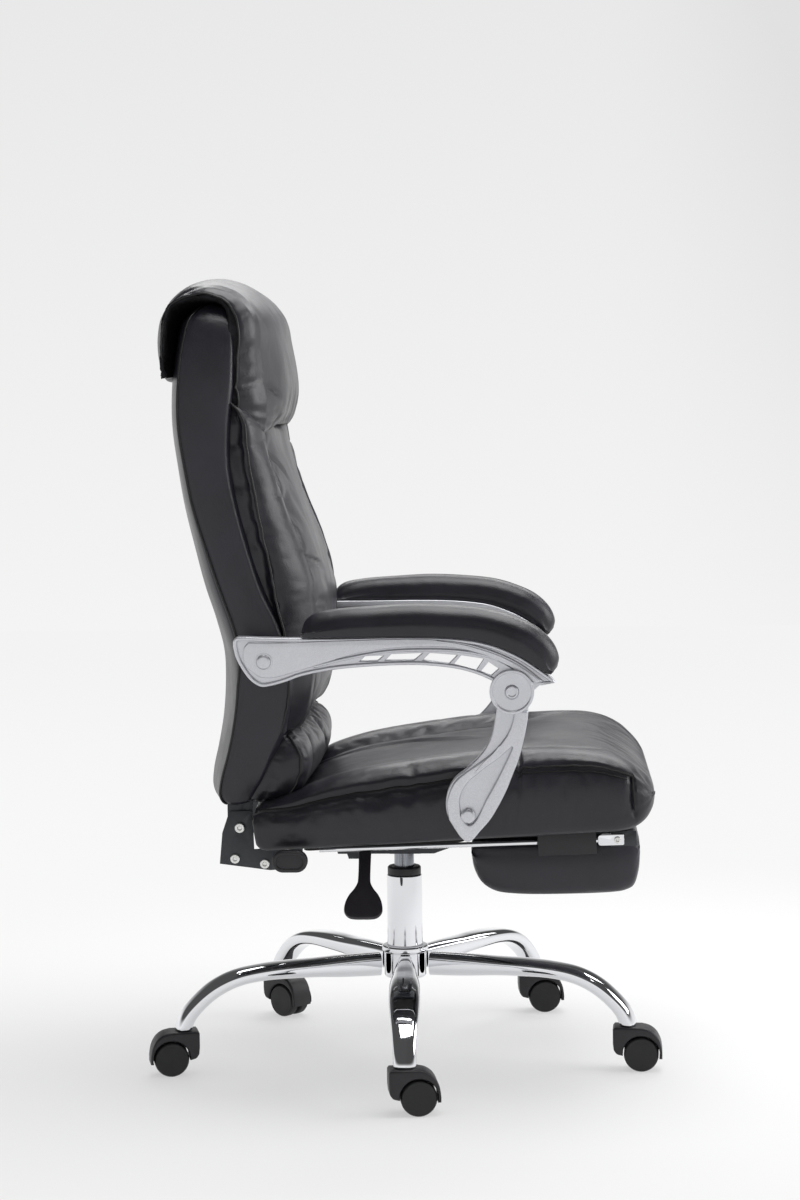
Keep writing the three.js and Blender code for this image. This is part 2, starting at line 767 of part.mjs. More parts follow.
function seatCushionGeometry(grow) {
  return softForm({
    rows: seatShares.map(([lx, lz, ux, uz, wide]) => [
      seatRear + lx * seatLength, lz * seatThickness, seatRear + ux * seatLength, uz * seatThickness, wide,
    ]),
    alongCount: 24,
    halfWidth: seatWidth / 2,
    edgeRound: seatTopRound,
    edgeDrop: seatTopDrop,
    lowerRound: seatBottomRound,
    innerCount: 10,
    lowerSwell: noSwell,
    upperSwell: seatTopSwell,
    grow,
  });
}

// Places of the pivots, in chair axes: x along the chair, y is height
const seatHeightAt = (x) => seatBoardHeight + x * Math.tan(seatTilt);
const reclinePivot = new THREE.Vector2(seatRear - pivotBehindSeat, seatBoardHeight + pivotAboveBoard);
const armBolt = new THREE.Vector2(reclinePivot.x + armBoltAheadOfPivot, reclinePivot.y + armBoltAbovePivot);
const linkBolt = new THREE.Vector2(seatRear + linkBoltAheadOfSeatRear, seatBoardHeight + linkBoltAboveBoard);
const armJointShares = [0.8325, -0.554];
const armJoint = new THREE.Vector2(
  armBolt.x + armJointShares[0] * armLength, armBolt.y + armJointShares[1] * armHeight,
);

// How far out the arm's parts stand from the middle of the chair
const widerHalf = Math.max(seatWidth, backWidth) / 2;
const linkInner = widerHalf + linkClearOfSeat;
const linkOuter = linkInner + linkThickness;
const lugInner = linkOuter + runningGap;
const lugOuter = lugInner + armLugThickness;
const armOuter = lugOuter;
const armInner = armOuter - armThickness;
const armMiddle = (armInner + armOuter) / 2;

function addSeatCushion() {
  const pinRadius = armPinDiameter / 2 + gap;
  const inSeat = new THREE.Vector3(linkBolt.x, 0, linkBolt.y - seatBoardHeight);
  inSeat.applyAxisAngle(new THREE.Vector3(0, 1, 0), seatTilt);
  const holes = sides.map(([, side]) => {
    const outer = side * (widerHalf + overrun);
    return crossBar(pinRadius, side * (seatWidth / 2 - armPinInBack - gap), outer, inSeat.x, inSeat.z);
  });
  addLocalPiece(seat, "seat_cushion", cut(seatCushionGeometry(0), holes), blackLeather);
}

// Backrest. Shares of the back's height and of its reach for the rear and front skins, then of its
// half width: a slim foot, a hollow at the waist, and a head that leans back
const backShares = [
  [0, 0.4, 0.52, 0.84],
  [0.006, 0.342, 0.586, 0.87],
  [0.021, 0.316, 0.638, 0.9],
  [0.052, 0.336, 0.717, 0.93],
  [0.104, 0.401, 0.816, 0.955],
  [0.164, 0.461, 0.934, 0.975],
  [0.236, 0.493, 1, 0.99],
  [0.299, 0.487, 0.967, 1],
  [0.364, 0.414, 0.888, 1],
  [0.433, 0.309, 0.75, 1],
  [0.507, 0.217, 0.645, 1],
  [0.593, 0.118, 0.546, 0.995],
  [0.672, 0.053, 0.48, 0.985],
  [0.761, 0, 0.48, 0.97],
  [0.851, 0.007, 0.52, 0.95],
  [0.925, 0.046, 0.526, 0.92],
  [0.964, 0.086, 0.5, 0.88],
  [0.988, 0.158, 0.434, 0.82],
  [1, 0.25, 0.35, 0.74],
];
const backFoot = reclinePivot.y + backAbovePivot;
const backLine = reclinePivot.x - backBehindPivot;

function backRearSwell(t, s) {
  const waist = Math.sin(Math.PI * Math.min(1, t / 0.75)) ** 2;
  const bulge = backBulgeTop + (backBulgeWaist - backBulgeTop) * waist;
  const atEnds = smoothStep(-0.08, 0.1, t) * (1 - smoothStep(0.88, 1.03, t));
  return bulge * (1 - Math.abs(s) ** 2.2) * atEnds;
}

function backRows(shares) {
  return shares.map(([height, rear, front, wide]) => {
    const z = backFoot + height * backHeight;
    return [backLine + rear * backReach, z, backLine + front * backReach, z, wide];
  });
}

function backBodyGeometry(grow) {
  return softForm({
    rows: backRows(backShares),
    alongCount: 20,
    halfWidth: backWidth / 2,
    edgeRound: backEdgeRound,
    innerCount: 6,
    lowerSwell: backRearSwell,
    upperSwell: noSwell,
    grow,
  });
}

const padShares = [
  [0.14, 0.822, 0.901, 0.95],
  [0.152, 0.809, 1.02, 0.97],
  [0.176, 0.822, 1.092, 0.985],
  [0.216, 0.862, 1.138, 1],
  [0.261, 0.862, 1.164, 1],
  [0.328, 0.822, 1.178, 1],
  [0.388, 0.757, 1.178, 1],
  [0.448, 0.651, 1.145, 1],
  [0.515, 0.546, 1.055, 1],
  [0.582, 0.467, 0.945, 0.995],
  [0.657, 0.401, 0.835, 0.985],
  [0.716, 0.375, 0.76, 0.975],
  [0.761, 0.375, 0.724, 0.965],
  [0.791, 0.388, 0.638, 0.955],
  [0.809, 0.401, 0.533, 0.94],
];

function padFrontSwell(t, s) {
  const dish = padDish * (1 - smoothStep(0.3, 0.72, Math.abs(s)));
  return -dish * Math.sin(Math.PI * t);
}

function sinkRear() {
  return padSink;
}

function backPadGeometry(grow) {
  return softForm({
    rows: backRows(padShares),
    alongCount: 18,
    halfWidth: padWidth / 2,
    edgeRound: padEdgeRound,
    innerCount: 8,
    lowerSwell: sinkRear,
    upperSwell: padFrontSwell,
    grow,
  });
}

const lumbarShares = [
  [0.006, 0.638, 0.8, 0.93],
  [0.012, 0.612, 0.93, 0.96],
  [0.03, 0.638, 1.035, 0.985],
  [0.057, 0.704, 1.092, 1],
  [0.09, 0.757, 1.112, 1],
  [0.116, 0.809, 1.085, 0.99],
  [0.134, 0.862, 1.02, 0.975],
  [0.142, 0.875, 0.935, 0.96],
];

function lumbarGeometry(grow) {
  return softForm({
    rows: backRows(lumbarShares),
    alongCount: 10,
    halfWidth: lumbarWidth / 2,
    edgeRound: lumbarEdgeRound,
    innerCount: 6,
    lowerSwell: sinkRear,
    upperSwell: (t, s) => lumbarCrown * (1 - s * s) * Math.sin(Math.PI * t),
    grow,
  });
}

// Headrest pillow, draped over the top of the back: inner and outer skins from the flap at the rear,
// over the top, to the thick fold at the front, as shares of the back's reach and height
const pillowShares = [
  [-0.15, 0.85, -0.2, 0.845, 0.97],
  [-0.14, 0.865, -0.25, 0.862, 0.98],
  [-0.13, 0.9, -0.272, 0.905, 1],
  [-0.12, 0.94, -0.265, 0.955, 1],
  [-0.1, 0.973, -0.225, 0.997, 0.99],
  [-0.05, 0.996, -0.115, 1.034, 0.97],
  [0.072, 1.009, 0.046, 1.054, 0.96],
  [0.23, 1.012, 0.263, 1.058, 0.96],
  [0.375, 1.006, 0.467, 1.046, 0.96],
  [0.47, 0.985, 0.651, 1.022, 0.97],
  [0.51, 0.949, 0.789, 0.985, 0.99],
  [0.53, 0.901, 0.842, 0.925, 1],
  [0.55, 0.851, 0.89, 0.858, 1],
  [0.59, 0.813, 0.908, 0.806, 0.995],
  [0.65, 0.779, 0.885, 0.773, 0.985],
  [0.704, 0.761, 0.81, 0.757, 0.97],
];

function pillowGeometry() {
  return softForm({
    rows: pillowShares.map(([ix, iz, ox, oz, wide]) => [
      backLine + ix * backReach, backFoot + iz * backHeight, backLine + ox * backReach, backFoot + oz * backHeight,
      wide,
    ]),
    alongCount: 16,
    halfWidth: pillowWidth / 2,
    edgeRound: pillowEdgeRound,
    innerCount: 6,
    lowerSwell: (t, s) => padSink + pillowCrown * Math.abs(s) ** 2.2,
    upperSwell: (t, s) => -pillowCrown * Math.abs(s) ** 2.2,
  });
}

const back = addGroup(swivel, "recline_pivot", reclinePivot.x, 0, reclinePivot.y);
const hingeInner = bracketFromMiddle - bracketThickness - gap;

function addBackrest() {
  seat.updateWorldMatrix(true, false);
  const seatClear = seatCushionGeometry(softGap).applyMatrix4(seat.matrixWorld);
  const pinRadius = armPinDiameter / 2 + gap;
  const holes = sides.flatMap(([, side]) => {
    const outer = side * (widerHalf + overrun);
    const strap = strapGeometry(side, gap);
    return [crossBar(pinRadius, side * (backWidth / 2 - armPinInBack - gap), outer, armBolt.x, armBolt.y), strap];
  });
  const body = cut(backBodyGeometry(0), holes);
  const bodyClear = backBodyGeometry(gap);
  const straps = sides.map(([, side]) => strapGeometry(side, gap));
  const lumbar = cut(lumbarGeometry(0), [bodyClear, seatClear, ...straps]);
  const pad = cut(backPadGeometry(0), [bodyClear, lumbarGeometry(gap)]);
  const pillow = cut(pillowGeometry(), [backBodyGeometry(gap), backPadGeometry(gap), pillowEndClearance()]);
  addPiece(back, "back_body", body, blackLeather);
  addPiece(back, "lumbar_roll", lumbar, blackLeather);
  addPiece(back, "back_pad", pad, blackLeather);
  addPiece(back, "headrest_pillow", pillow, blackLeather);
}

// The back body's profile carried past its sides, so that the pillow's ends stay open
function pillowEndClearance() {
  return softForm({
    rows: backRows(backShares),
    alongCount: 20,
    halfWidth: backWidth,
    edgeRound: backEdgeRound,
    innerCount: 6,
    lowerSwell: (t, s) => backRearSwell(t, Math.min(1, 2 * Math.abs(s))),
    upperSwell: noSwell,
    grow: gap,
  });
}

// Hinge plate: a round eye on the pivot and a strap that runs up into the back
function strapGeometry(side, extra) {
  const half = hingeStrapWidth / 2 + extra;
  return block(
    [reclinePivot.x - half, reclinePivot.x + half],
    span(side, hingeInner - bracketThickness - extra, hingeInner + extra),
    [reclinePivot.y, backFoot + hingeStrapInBack + extra],
  );
}

// Corners of the seat's bracket as shares of its length and depth, from the recline pivot
const bracketShares = [
  [-0.14, 0.367],
  [0.17, 0.383],
  [0.185, -0.5],
  [0.84, -0.42],
  [0.84, -0.92],
  [0.4, -0.967],
  [-0.28, -0.817],
  [-0.24, -0.117],
];

function addBrackets() {
  const outline = new THREE.Shape(outlineFrom(bracketShares, reclinePivot, bracketLength, bracketDepth));
  const rodX = reclinePivot.x + rodFromPivotX;
  const rodZ = reclinePivot.y + rodFromPivotZ;
  const flangeTop = seatBoardHeight;
  const boltRadius = pivotBoltDiameter / 2;
  const flangeRear = seatRear + bracketFlangeWidth;
  for (const [name, side] of sides) {
    const inner = side * (bracketFromMiddle - bracketThickness);
    const outer = side * bracketFromMiddle;
    const flangeEdge = side * (bracketFromMiddle - bracketFlangeWidth);
    const flange = block(
      [flangeRear, boardRear - gap],
      [Math.min(flangeEdge, outer), Math.max(flangeEdge, outer)],
      [flangeTop - 5 * bracketThickness, flangeTop],
    );
    const holes = [
      crossBar(boltRadius + gap, 0, 2 * outer, reclinePivot.x, reclinePivot.y),
      crossBar(reclineRodDiameter / 2 + gap, 0, 2 * outer, rodX, rodZ),
      aboveSeatPlane(-2 * gap),
      block(
        [flangeRear - overrun, seatFront],
        [Math.min(flangeEdge, inner) - gap, Math.max(flangeEdge, inner) + gap],
        [0, seatHeightAt(flangeRear) - bracketThickness],
      ),
    ];
    const keepBehindSeat = plate(outline, inner, outer);
    const lowPart = cut(join([keepBehindSeat, flange]), holes);
    const highPart = cut(
      plate(outline, inner, outer),
      [holes[0], holes[1], block([seatRear - gap - 2 * softGap, seatFront], [-seatWidth, seatWidth], [0, 2 * seatBoardHeight])],
    );
    addPiece(swivel, `recline_bracket_${name}`, join([lowPart, highPart]), darkPaint);

    const eye = crossBar(
      hingePlateRadius, side * hingeInner, side * (hingeInner - bracketThickness), reclinePivot.x, reclinePivot.y, 28,
    );
    const hinge = cut(join([eye, strapGeometry(side, 0)]), [holes[0]]);
    addPiece(back, `back_hinge_plate_${name}`, hinge, darkPaint);

    const shankEnd = hingeInner - bracketThickness - gap;
    const bolt = join([
      crossBar(boltRadius, side * (shankEnd - boltHeadHeight), side * (bracketFromMiddle + boltHeadHeight), ...pivotXZ()),
      crossBar(boltHeadDiameter / 2, side * (bracketFromMiddle + gap), side * (bracketFromMiddle + boltHeadHeight), ...pivotXZ()),
      crossBar(boltHeadDiameter / 2, side * (shankEnd - boltHeadHeight), side * shankEnd, ...pivotXZ()),
    ]);
    addPiece(swivel, `recline_bolt_${name}`, bolt, zincPlate);
  }
}

function pivotXZ() {
  return [reclinePivot.x, reclinePivot.y];
}

// Recline handle: an oval grip beside the seat, on a rod that runs across to the other bracket
function addReclineHandle() {
  const rodX = reclinePivot.x + rodFromPivotX;
  const rodZ = reclinePivot.y + rodFromPivotZ;
  const handle = addGroup(swivel, "recline_handle_pivot", rodX, 0, rodZ);
  const rodRadius = reclineRodDiameter / 2;
  const nutRadius = reclineNutDiameter / 2;
  const gripInner = -(seatWidth / 2 + handleSideClearance);
  const gripOuter = gripInner - handleThickness;
  const nutStart = bracketFromMiddle + gap;
  const rod = join([
    crossBar(rodRadius, gripInner - handleThickness / 2, nutStart + boltHeadHeight, rodX, rodZ, 16),
    crossBar(nutRadius, -nutStart, -nutStart - boltHeadHeight, rodX, rodZ),
    crossBar(nutRadius, nutStart, nutStart + boltHeadHeight, rodX, rodZ),
  ]);
  addPiece(handle, "recline_rod", rod, zincPlate);
  const grip = new THREE.Shape();
  const endRadius = handleHeight / 2;
  const straight = handleLength / 2 - endRadius;
  grip.absarc(straight, 0, endRadius, -Math.PI / 2, Math.PI / 2, false);
  grip.absarc(-straight, 0, endRadius, Math.PI / 2, 1.5 * Math.PI, false);
  const oval = plate(grip, gripInner, gripOuter).translate(rodX + straight, 0, rodZ);
  const bore = crossBar(rodRadius + gap, gripInner + overrun, gripInner - handleThickness / 2 - gap, rodX, rodZ, 16);
  addPiece(handle, "recline_handle", cut(oval, [bore]), blackPlastic);
}

// Each stretch between two points of a curved edge is drawn in this many straight steps
const splineSteps = 2;

// Arms. Edges of the arm frame as shares of its length and height from the rear arm bolt
const armTopShares = [
  [-0.088, 0.446], [0.02, 0.42], [0.129, 0.408], [0.258, 0.405], [0.459, 0.415], [0.626, 0.388], [0.727, 0.32],
  [0.794, 0.212], [0.861, 0.05], [0.928, -0.18], [0.969, -0.338],
];
const armNoseShares = [[0.978, -0.41], [0.93, -0.455], [0.88, -0.4]];
const armLowShares = [
  [0.771, -0.378], [0.727, -0.27], [0.66, -0.162], [0.559, -0.09], [0.459, -0.078], [0.325, -0.108],
  [0.222, -0.162], [0.121, -0.27], [0.07, -0.365], [0.021, -0.432], [-0.008, -0.446], [-0.041, -0.351],
  [-0.07, -0.162], [-0.093, 0.068], [-0.103, 0.284],
];
const armSlotShares = [
  [[0.314, -0.01], [0.376, -0.012], [0.392, 0.075], [0.33, 0.075]],
  [[0.408, -0.004], [0.503, 0.004], [0.531, 0.118], [0.43, 0.092]],
  [[0.533, 0.004], [0.613, -0.058], [0.649, 0.075], [0.554, 0.125]],
  [[0.642, -0.085], [0.7, -0.162], [0.738, -0.018], [0.662, 0.06]],
  [[0.724, -0.203], [0.752, -0.262], [0.776, -0.15], [0.748, -0.05]],
];
const armPadShares = [
  [0.129, 0.47, 0.13, 0.514, 0.8],
  [0.144, 0.432, 0.149, 0.662, 0.9],
  [0.183, 0.43, 0.18, 0.77, 0.97],
  [0.258, 0.43, 0.247, 0.892, 1],
  [0.376, 0.432, 0.376, 0.973, 1],
  [0.505, 0.432, 0.505, 1, 1],
  [0.626, 0.405, 0.634, 0.973, 1],
  [0.727, 0.338, 0.753, 0.905, 1],
  [0.794, 0.23, 0.835, 0.784, 1],
  [0.861, 0.068, 0.918, 0.581, 0.97],
  [0.918, -0.122, 0.972, 0.297, 0.9],
  [0.946, -0.225, 0.99, 0.041, 0.8],
  [0.962, -0.25, 0.985, -0.12, 0.65],
];

function armFrameGeometry(side) {
  const place = (shares) => outlineFrom(shares, armBolt, armLength, armHeight);
  const outline = new THREE.Shape();
  const top = place(armTopShares);
  outline.moveTo(top[0].x, top[0].y);
  outline.splineThru(top.slice(1));
  place(armNoseShares).forEach((point) => outline.lineTo(point.x, point.y));
  arcPoints(armJoint, armLugRadius, radians(-5), radians(-205), 18).forEach((point) => {
    outline.lineTo(point.x, point.y);
  });
  const low = place(armLowShares);
  outline.lineTo(low[0].x, low[0].y);
  outline.splineThru(low.slice(1));
  outline.closePath();
  outline.holes = armSlotShares.map((shares) => new THREE.Path(place(shares)));
  const pin = armPinDiameter / 2 + gap;
  const inner = side * armInner;
  const outer = side * armOuter;
  return cut(plate(outline, inner, outer, splineSteps), [
    crossBar(linkHeadRadius + jointPinPlay, inner - side * overrun, side * lugInner, armJoint.x, armJoint.y, 22),
    crossBar(jointPinDiameter / 2 + jointPinPlay, inner, outer + side * overrun, armJoint.x, armJoint.y, 16),
    crossBar(pin, inner - side * overrun, outer + side * overrun, armBolt.x, armBolt.y, 16),
  ]);
}

function armPadGeometry(side, grow) {
  const pad = softForm({
    rows: armPadShares.map(([lx, lz, ux, uz, wide]) => [
      armBolt.x + lx * armLength, armBolt.y + lz * armHeight, armBolt.x + ux * armLength, armBolt.y + uz * armHeight,
      wide,
    ]),
    alongCount: 13,
    halfWidth: armPadWidth / 2,
    edgeRound: armPadEdgeRound,
    innerCount: 2,
    lowerRound: armPadInset,
    lowerSwell: () => armPadInset,
    upperSwell: noSwell,
    grow,
  });
  return pad.translate(0, side * (armMiddle + armPadInset), 0);
}

// Edge of the lower link as shares of the way from its bolt to the arm joint
const linkShares = [
  [0.644, 0.842], [0.61, 0.764], [0.542, 0.648], [0.407, 0.545], [0.186, 0.448], [-0.051, 0.37], [-0.288, 0.303],
  [-0.424, 0.224], [-0.492, 0.127], [-0.492, 0.048], [-0.424, -0.03], [-0.288, -0.109], [-0.153, -0.176],
  [-0.034, -0.206], [0.085, -0.194], [0.254, -0.127], [0.492, -0.03], [0.661, 0.067], [0.864, 0.206],
  [1, 0.327], [1.136, 0.448], [1.254, 0.606], [1.339, 0.764], [1.356, 0.83],
];

function linkGeometry(side) {
  const corner = new THREE.Vector2(linkBolt.x, linkBolt.y);
  const points = outlineFrom(linkShares, corner, armJoint.x - linkBolt.x, armJoint.y - linkBolt.y);
  const outline = new THREE.Shape();
  outline.moveTo(points[0].x, points[0].y);
  outline.splineThru(points.slice(1));
  arcPoints(armJoint, linkHeadRadius, radians(-25), radians(205), 18).forEach((point) => {
    outline.lineTo(point.x, point.y);
  });
  const pin = crossBar(jointPinDiameter / 2, side * linkInner, side * lugOuter, armJoint.x, armJoint.y, 20);
  const hole = crossBar(
    armPinDiameter / 2 + gap, side * (linkInner - overrun), side * (linkOuter + overrun), linkBolt.x, linkBolt.y, 16,
  );
  return cut(join([plate(outline, side * linkInner, side * linkOuter, splineSteps), pin]), [hole]);
}

function pinWithCap(side, bodyHalf, seatFace, outerFace, place) {
  const shank = crossBar(
    armPinDiameter / 2, side * (bodyHalf - armPinInBack), side * (outerFace + capHeight), place.x, place.y, 12,
  );
  const cap = crossBar(
    capDiameter / 2, side * (outerFace + gap), side * (outerFace + gap + capHeight), place.x, place.y, 16,
  );
  const bush = crossBar(capDiameter / 2, side * (bodyHalf + gap), side * (seatFace - gap), place.x, place.y, 12);
  return join([shank, cap, bush]);
}

function addArms() {
  for (const [name, side] of sides) {
    const arm = addGroup(back, `arm_${name}_pivot`, 0, 0, 0);
    arm.position.set(armBolt.x - reclinePivot.x, side * armMiddle, armBolt.y - reclinePivot.y);
    addPiece(arm, `arm_frame_${name}`, armFrameGeometry(side), satinSilver);
    const frameClear = plate(armPadBed(), side * (armInner - armPadWidth), side * (armOuter + armPadWidth), splineSteps);
    addPiece(arm, `arm_pad_${name}`, cut(armPadGeometry(side, 0), [frameClear]), blackLeather);
    const rearPin = pinWithCap(side, backWidth / 2, armInner, armOuter, armBolt);
    addPiece(back, `arm_pin_${name}`, rearPin, satinSilver);

    const link = addGroup(swivel, `link_${name}_pivot`, linkBolt.x, side * linkInner, linkBolt.y);
    addPiece(link, `arm_link_${name}`, linkGeometry(side), satinSilver);
    const disc = crossBar(
      discDiameter / 2, side * (lugOuter + gap), side * (lugOuter + discThickness), armJoint.x, armJoint.y, 36,
    );
    addPiece(link, `joint_disc_${name}`, disc, satinSilver);
    const linkPin = pinWithCap(side, seatWidth / 2, linkInner, linkOuter, linkBolt);
    addPiece(swivel, `link_pin_${name}`, linkPin, satinSilver);
  }
}

// The top of the arm frame, carried down, that the pad is bedded on
function armPadBed() {
  const top = outlineFrom(armTopShares, armBolt, armLength, armHeight).map((point) => {
    return new THREE.Vector2(point.x, point.y + gap);
  });
  const bed = new THREE.Shape();
  bed.moveTo(top[0].x, top[0].y);
  bed.splineThru(top.slice(1));
  bed.lineTo(armBolt.x + armLength, armBolt.y - armHeight);
  bed.lineTo(top[0].x, armBolt.y - armHeight);
  bed.closePath();
  return bed;
}

// Footrest: rails that slide in sleeves under the board, and a pad that turns over on their ends
const rail = addGroup(seat, "rail_frame", hingeX, 0, -railBelowSeat);
rail.rotation.y = seatTilt - railTilt;
const slide = addGroup(rail, "footrest_slide_pivot", 0, 0, 0);
const flip = addGroup(slide, "footrest_flip_pivot", 0, 0, 0);

function addFootrestRails() {
  rail.updateWorldMatrix(true, false);
  const toRail = rail.matrixWorld.clone().invert();
  const aboveSleeve = aboveSeatPlane(-2 * gap).applyMatrix4(toRail);
  const radius = railDiameter / 2;
  for (const [name, side] of sides) {
    const y = side * railFromMiddle;
    const sleeveHalf = sleeveWidth / 2;
    const sleeve = block(
      [-sleeveBehindHinge - sleeveLength, -sleeveBehindHinge],
      [y - sleeveHalf, y + sleeveHalf],
      [-sleeveBelowRail, 2 * railBelowSeat],
    );
    const bore = lengthBar(radius + gap, -railLength, 0, y, 16);
    addLocalPiece(rail, `rail_sleeve_${name}`, cut(sleeve, [bore, aboveSleeve]), blackPlastic);

    const bar = new THREE.Shape();
    bar.absarc(barNose - barHeight / 2, 0, barHeight / 2, -Math.PI / 2, Math.PI / 2, false);
    bar.absarc(barNose - barLength + barHeight / 2, 0, barHeight / 2, Math.PI / 2, 1.5 * Math.PI, false);
    const endBar = plate(bar, y - barThickness / 2, y + barThickness / 2);
    const bolt = crossBar(hingeBoltDiameter / 2 + gap, y - sleeveWidth, y + sleeveWidth, 0, 0, 16);
    const rod = lengthBar(radius, -railLength, barNose - barLength + barHeight, y, 16);
    addLocalPiece(slide, `footrest_rail_${name}`, cut(join([rod, endBar]), [bolt]), polishedChrome);

    const inner = side * (railFromMiddle - railDiameter / 2 - footEarThickness - 2 * gap);
    const outer = side * (railFromMiddle + barThickness / 2 + gap);
    const head = outer + side * boltHeadHeight;
    addLocalPiece(slide, `footrest_bolt_${name}`, join([
      crossBar(hingeBoltDiameter / 2, inner, head, 0, 0, 16),
      crossBar(hingeBoltHead / 2, outer, head, 0, 0, 16),
    ]), zincPlate);
  }
}

// A round bar along the chair
function lengthBar(radius, rear, front, y, barSides) {
  const bar = new THREE.CylinderGeometry(radius, radius, front - rear, barSides);
  return bar.rotateZ(Math.PI / 2).translate((rear + front) / 2, y, 0);
}

// Shares of the pad's length and thickness, from its far end and its lowest face
const footPadShares = [
  [0, 0.66, 0, 0.8, 0.93],
  [0.013, 0.447, 0.013, 0.9, 0.95],
  [0.053, 0.235, 0.048, 0.938, 0.97],
  [0.127, 0.094, 0.11, 0.938, 0.985],
  [0.25, 0.035, 0.25, 0.938, 1],
  [0.627, 0, 0.627, 0.938, 1],
  [0.84, 0.01, 0.84, 0.938, 1],
  [0.9, 0.03, 0.885, 0.96, 0.99],
  [0.952, 0.094, 0.939, 0.99, 0.975],
  [0.987, 0.329, 0.974, 0.98, 0.95],
  [1, 0.6, 0.996, 0.86, 0.93],
];

function addFootrestPad() {
  const padTop = -footPadBelowHinge + footPadShares[5][3] * footPadThickness;
  const pad = softForm({
    rows: footPadShares.map(([lx, lz, ux, uz, wide]) => [
      -footPadBehindHinge + lx * footPadLength, -footPadBelowHinge + lz * footPadThickness,
      -footPadBehindHinge + ux * footPadLength, -footPadBelowHinge + uz * footPadThickness,
      wide,
    ]),
    alongCount: 14,
    halfWidth: footPadWidth / 2,
    edgeRound: footPadEdgeRound,
    innerCount: 4,
    lowerSwell: noSwell,
    upperSwell: noSwell,
  });
  const earOuter = railFromMiddle - railDiameter / 2 - gap;
  const earInner = earOuter - footEarThickness;
  const boardHalf = footPadWidth / 2 - footBoardInset;
  const boardLow = padTop + gap;
  const boardHigh = boardLow + footBoardThickness;
  const boardRear = -footPadBehindHinge + footBoardInset;
  const ears = sides.flatMap(([, side]) => {
    const ear = block(
      [-footEarLength / 4, footEarLength * 0.75],
      span(side, earInner, earOuter),
      [-footEarHeight / 2, footEarHeight / 2],
    );
    const tab = block([-footEarLength / 4, 0], span(side, boardHalf - overrun, earOuter), [boardLow, boardHigh]);
    return [ear, tab];
  });
  const plank = block([boardRear, 0], [-boardHalf, boardHalf], [boardLow, boardHigh]);
  const boltHole = crossBar(hingeBoltDiameter / 2 + gap, -railFromMiddle, railFromMiddle, 0, 0, 16);
  const clearance = crossBar(hingeBoltDiameter / 2 + gap, -earInner + overrun, earInner - overrun, 0, 0, 16);
  const board = cut(join([plank, ...ears]), [boltHole]);
  const boardClear = block(
    [boardRear - gap, gap], [-footPadWidth, footPadWidth], [boardLow - gap, boardHigh + footPadThickness],
  );
  addLocalPiece(flip, "footrest_board", board, darkPaint);
  addLocalPiece(flip, "footrest_pad", cut(pad, [boardClear, clearance]), blackLeather);
}

addBase();
addCasters();
addColumn();
addPiston();
addSeatFrame();
addLever();
addSeatCushion();
addBackrest();
addBrackets();
addReclineHandle();
addArms();
addFootrestRails();
addFootrestPad();

chair.updateMatrixWorld(true);
const box = new THREE.Box3().setFromObject(chair, true);
chair.position.set(-(box.min.x + box.max.x) / 2, -(box.min.y + box.max.y) / 2, -box.min.z);
chair.updateMatrixWorld(true);

export default chair;
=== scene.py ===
# %% [markdown]
# # A reclining office chair with a pull-out footrest
# This lesson dresses a measured model of an office chair. The measured model, which we call the frame,
# already has every part in its place: a star base on casters, a gas column, a seat on a control box, a
# high padded back, two linked arms and a footrest that slides out on rails. Here each part gets the
# shape and the finish of the real thing. We load the frame first, because every new piece is placed by it.

# %% Load the frame
import json
import math

import bpy
import numpy as np
from mathutils import Matrix, Vector

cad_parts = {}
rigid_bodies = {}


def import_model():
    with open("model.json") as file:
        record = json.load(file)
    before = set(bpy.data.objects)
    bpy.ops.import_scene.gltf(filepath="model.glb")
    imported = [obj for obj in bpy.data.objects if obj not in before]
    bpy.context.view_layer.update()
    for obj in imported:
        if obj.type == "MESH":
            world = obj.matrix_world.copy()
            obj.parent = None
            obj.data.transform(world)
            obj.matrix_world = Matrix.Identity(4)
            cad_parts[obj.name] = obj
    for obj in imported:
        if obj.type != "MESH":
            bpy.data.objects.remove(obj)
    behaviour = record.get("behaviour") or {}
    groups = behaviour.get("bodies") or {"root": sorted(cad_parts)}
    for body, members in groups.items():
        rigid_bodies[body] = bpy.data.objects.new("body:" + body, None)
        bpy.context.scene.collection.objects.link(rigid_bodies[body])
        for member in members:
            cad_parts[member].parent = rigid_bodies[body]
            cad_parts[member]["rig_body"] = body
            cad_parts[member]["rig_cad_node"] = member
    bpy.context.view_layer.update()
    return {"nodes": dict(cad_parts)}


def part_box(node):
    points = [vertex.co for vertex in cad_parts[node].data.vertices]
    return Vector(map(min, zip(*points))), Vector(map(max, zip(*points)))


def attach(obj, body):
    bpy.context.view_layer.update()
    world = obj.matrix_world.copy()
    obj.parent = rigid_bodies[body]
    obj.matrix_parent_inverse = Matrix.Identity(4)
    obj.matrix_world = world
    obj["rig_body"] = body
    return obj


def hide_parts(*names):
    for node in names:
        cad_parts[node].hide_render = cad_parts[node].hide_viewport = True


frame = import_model()


# %% [markdown]
# ## Where things are
# The chair is measured in millimetres from the axis of its gas column, at floor level. X is the way the
# sitter faces and Z is up. Blender works in metres, and the frame's own middle is a little away from the
# column, so one small function turns a place on the chair into a place in the scene.

# %% Places on the chair
column_low, column_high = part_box("column_tube")
column = (column_low + column_high) / 2
MM = 0.001
SIDES = (("right", -1), ("left", 1))


def spot(x, y, z):
    """A place on the chair, in millimetres from the column's foot, as a point of the scene."""
    return Vector((column.x + x * MM, column.y + y * MM, z * MM))


print("column axis", [round(value, 4) for value in column])

# %% [markdown]
# ## The camera
# The photograph was taken from the sitter's right, nearly level, with a long lens. A long lens keeps the
# far arm almost as large as the near one. The camera stands nearly four metres away and looks a little down.

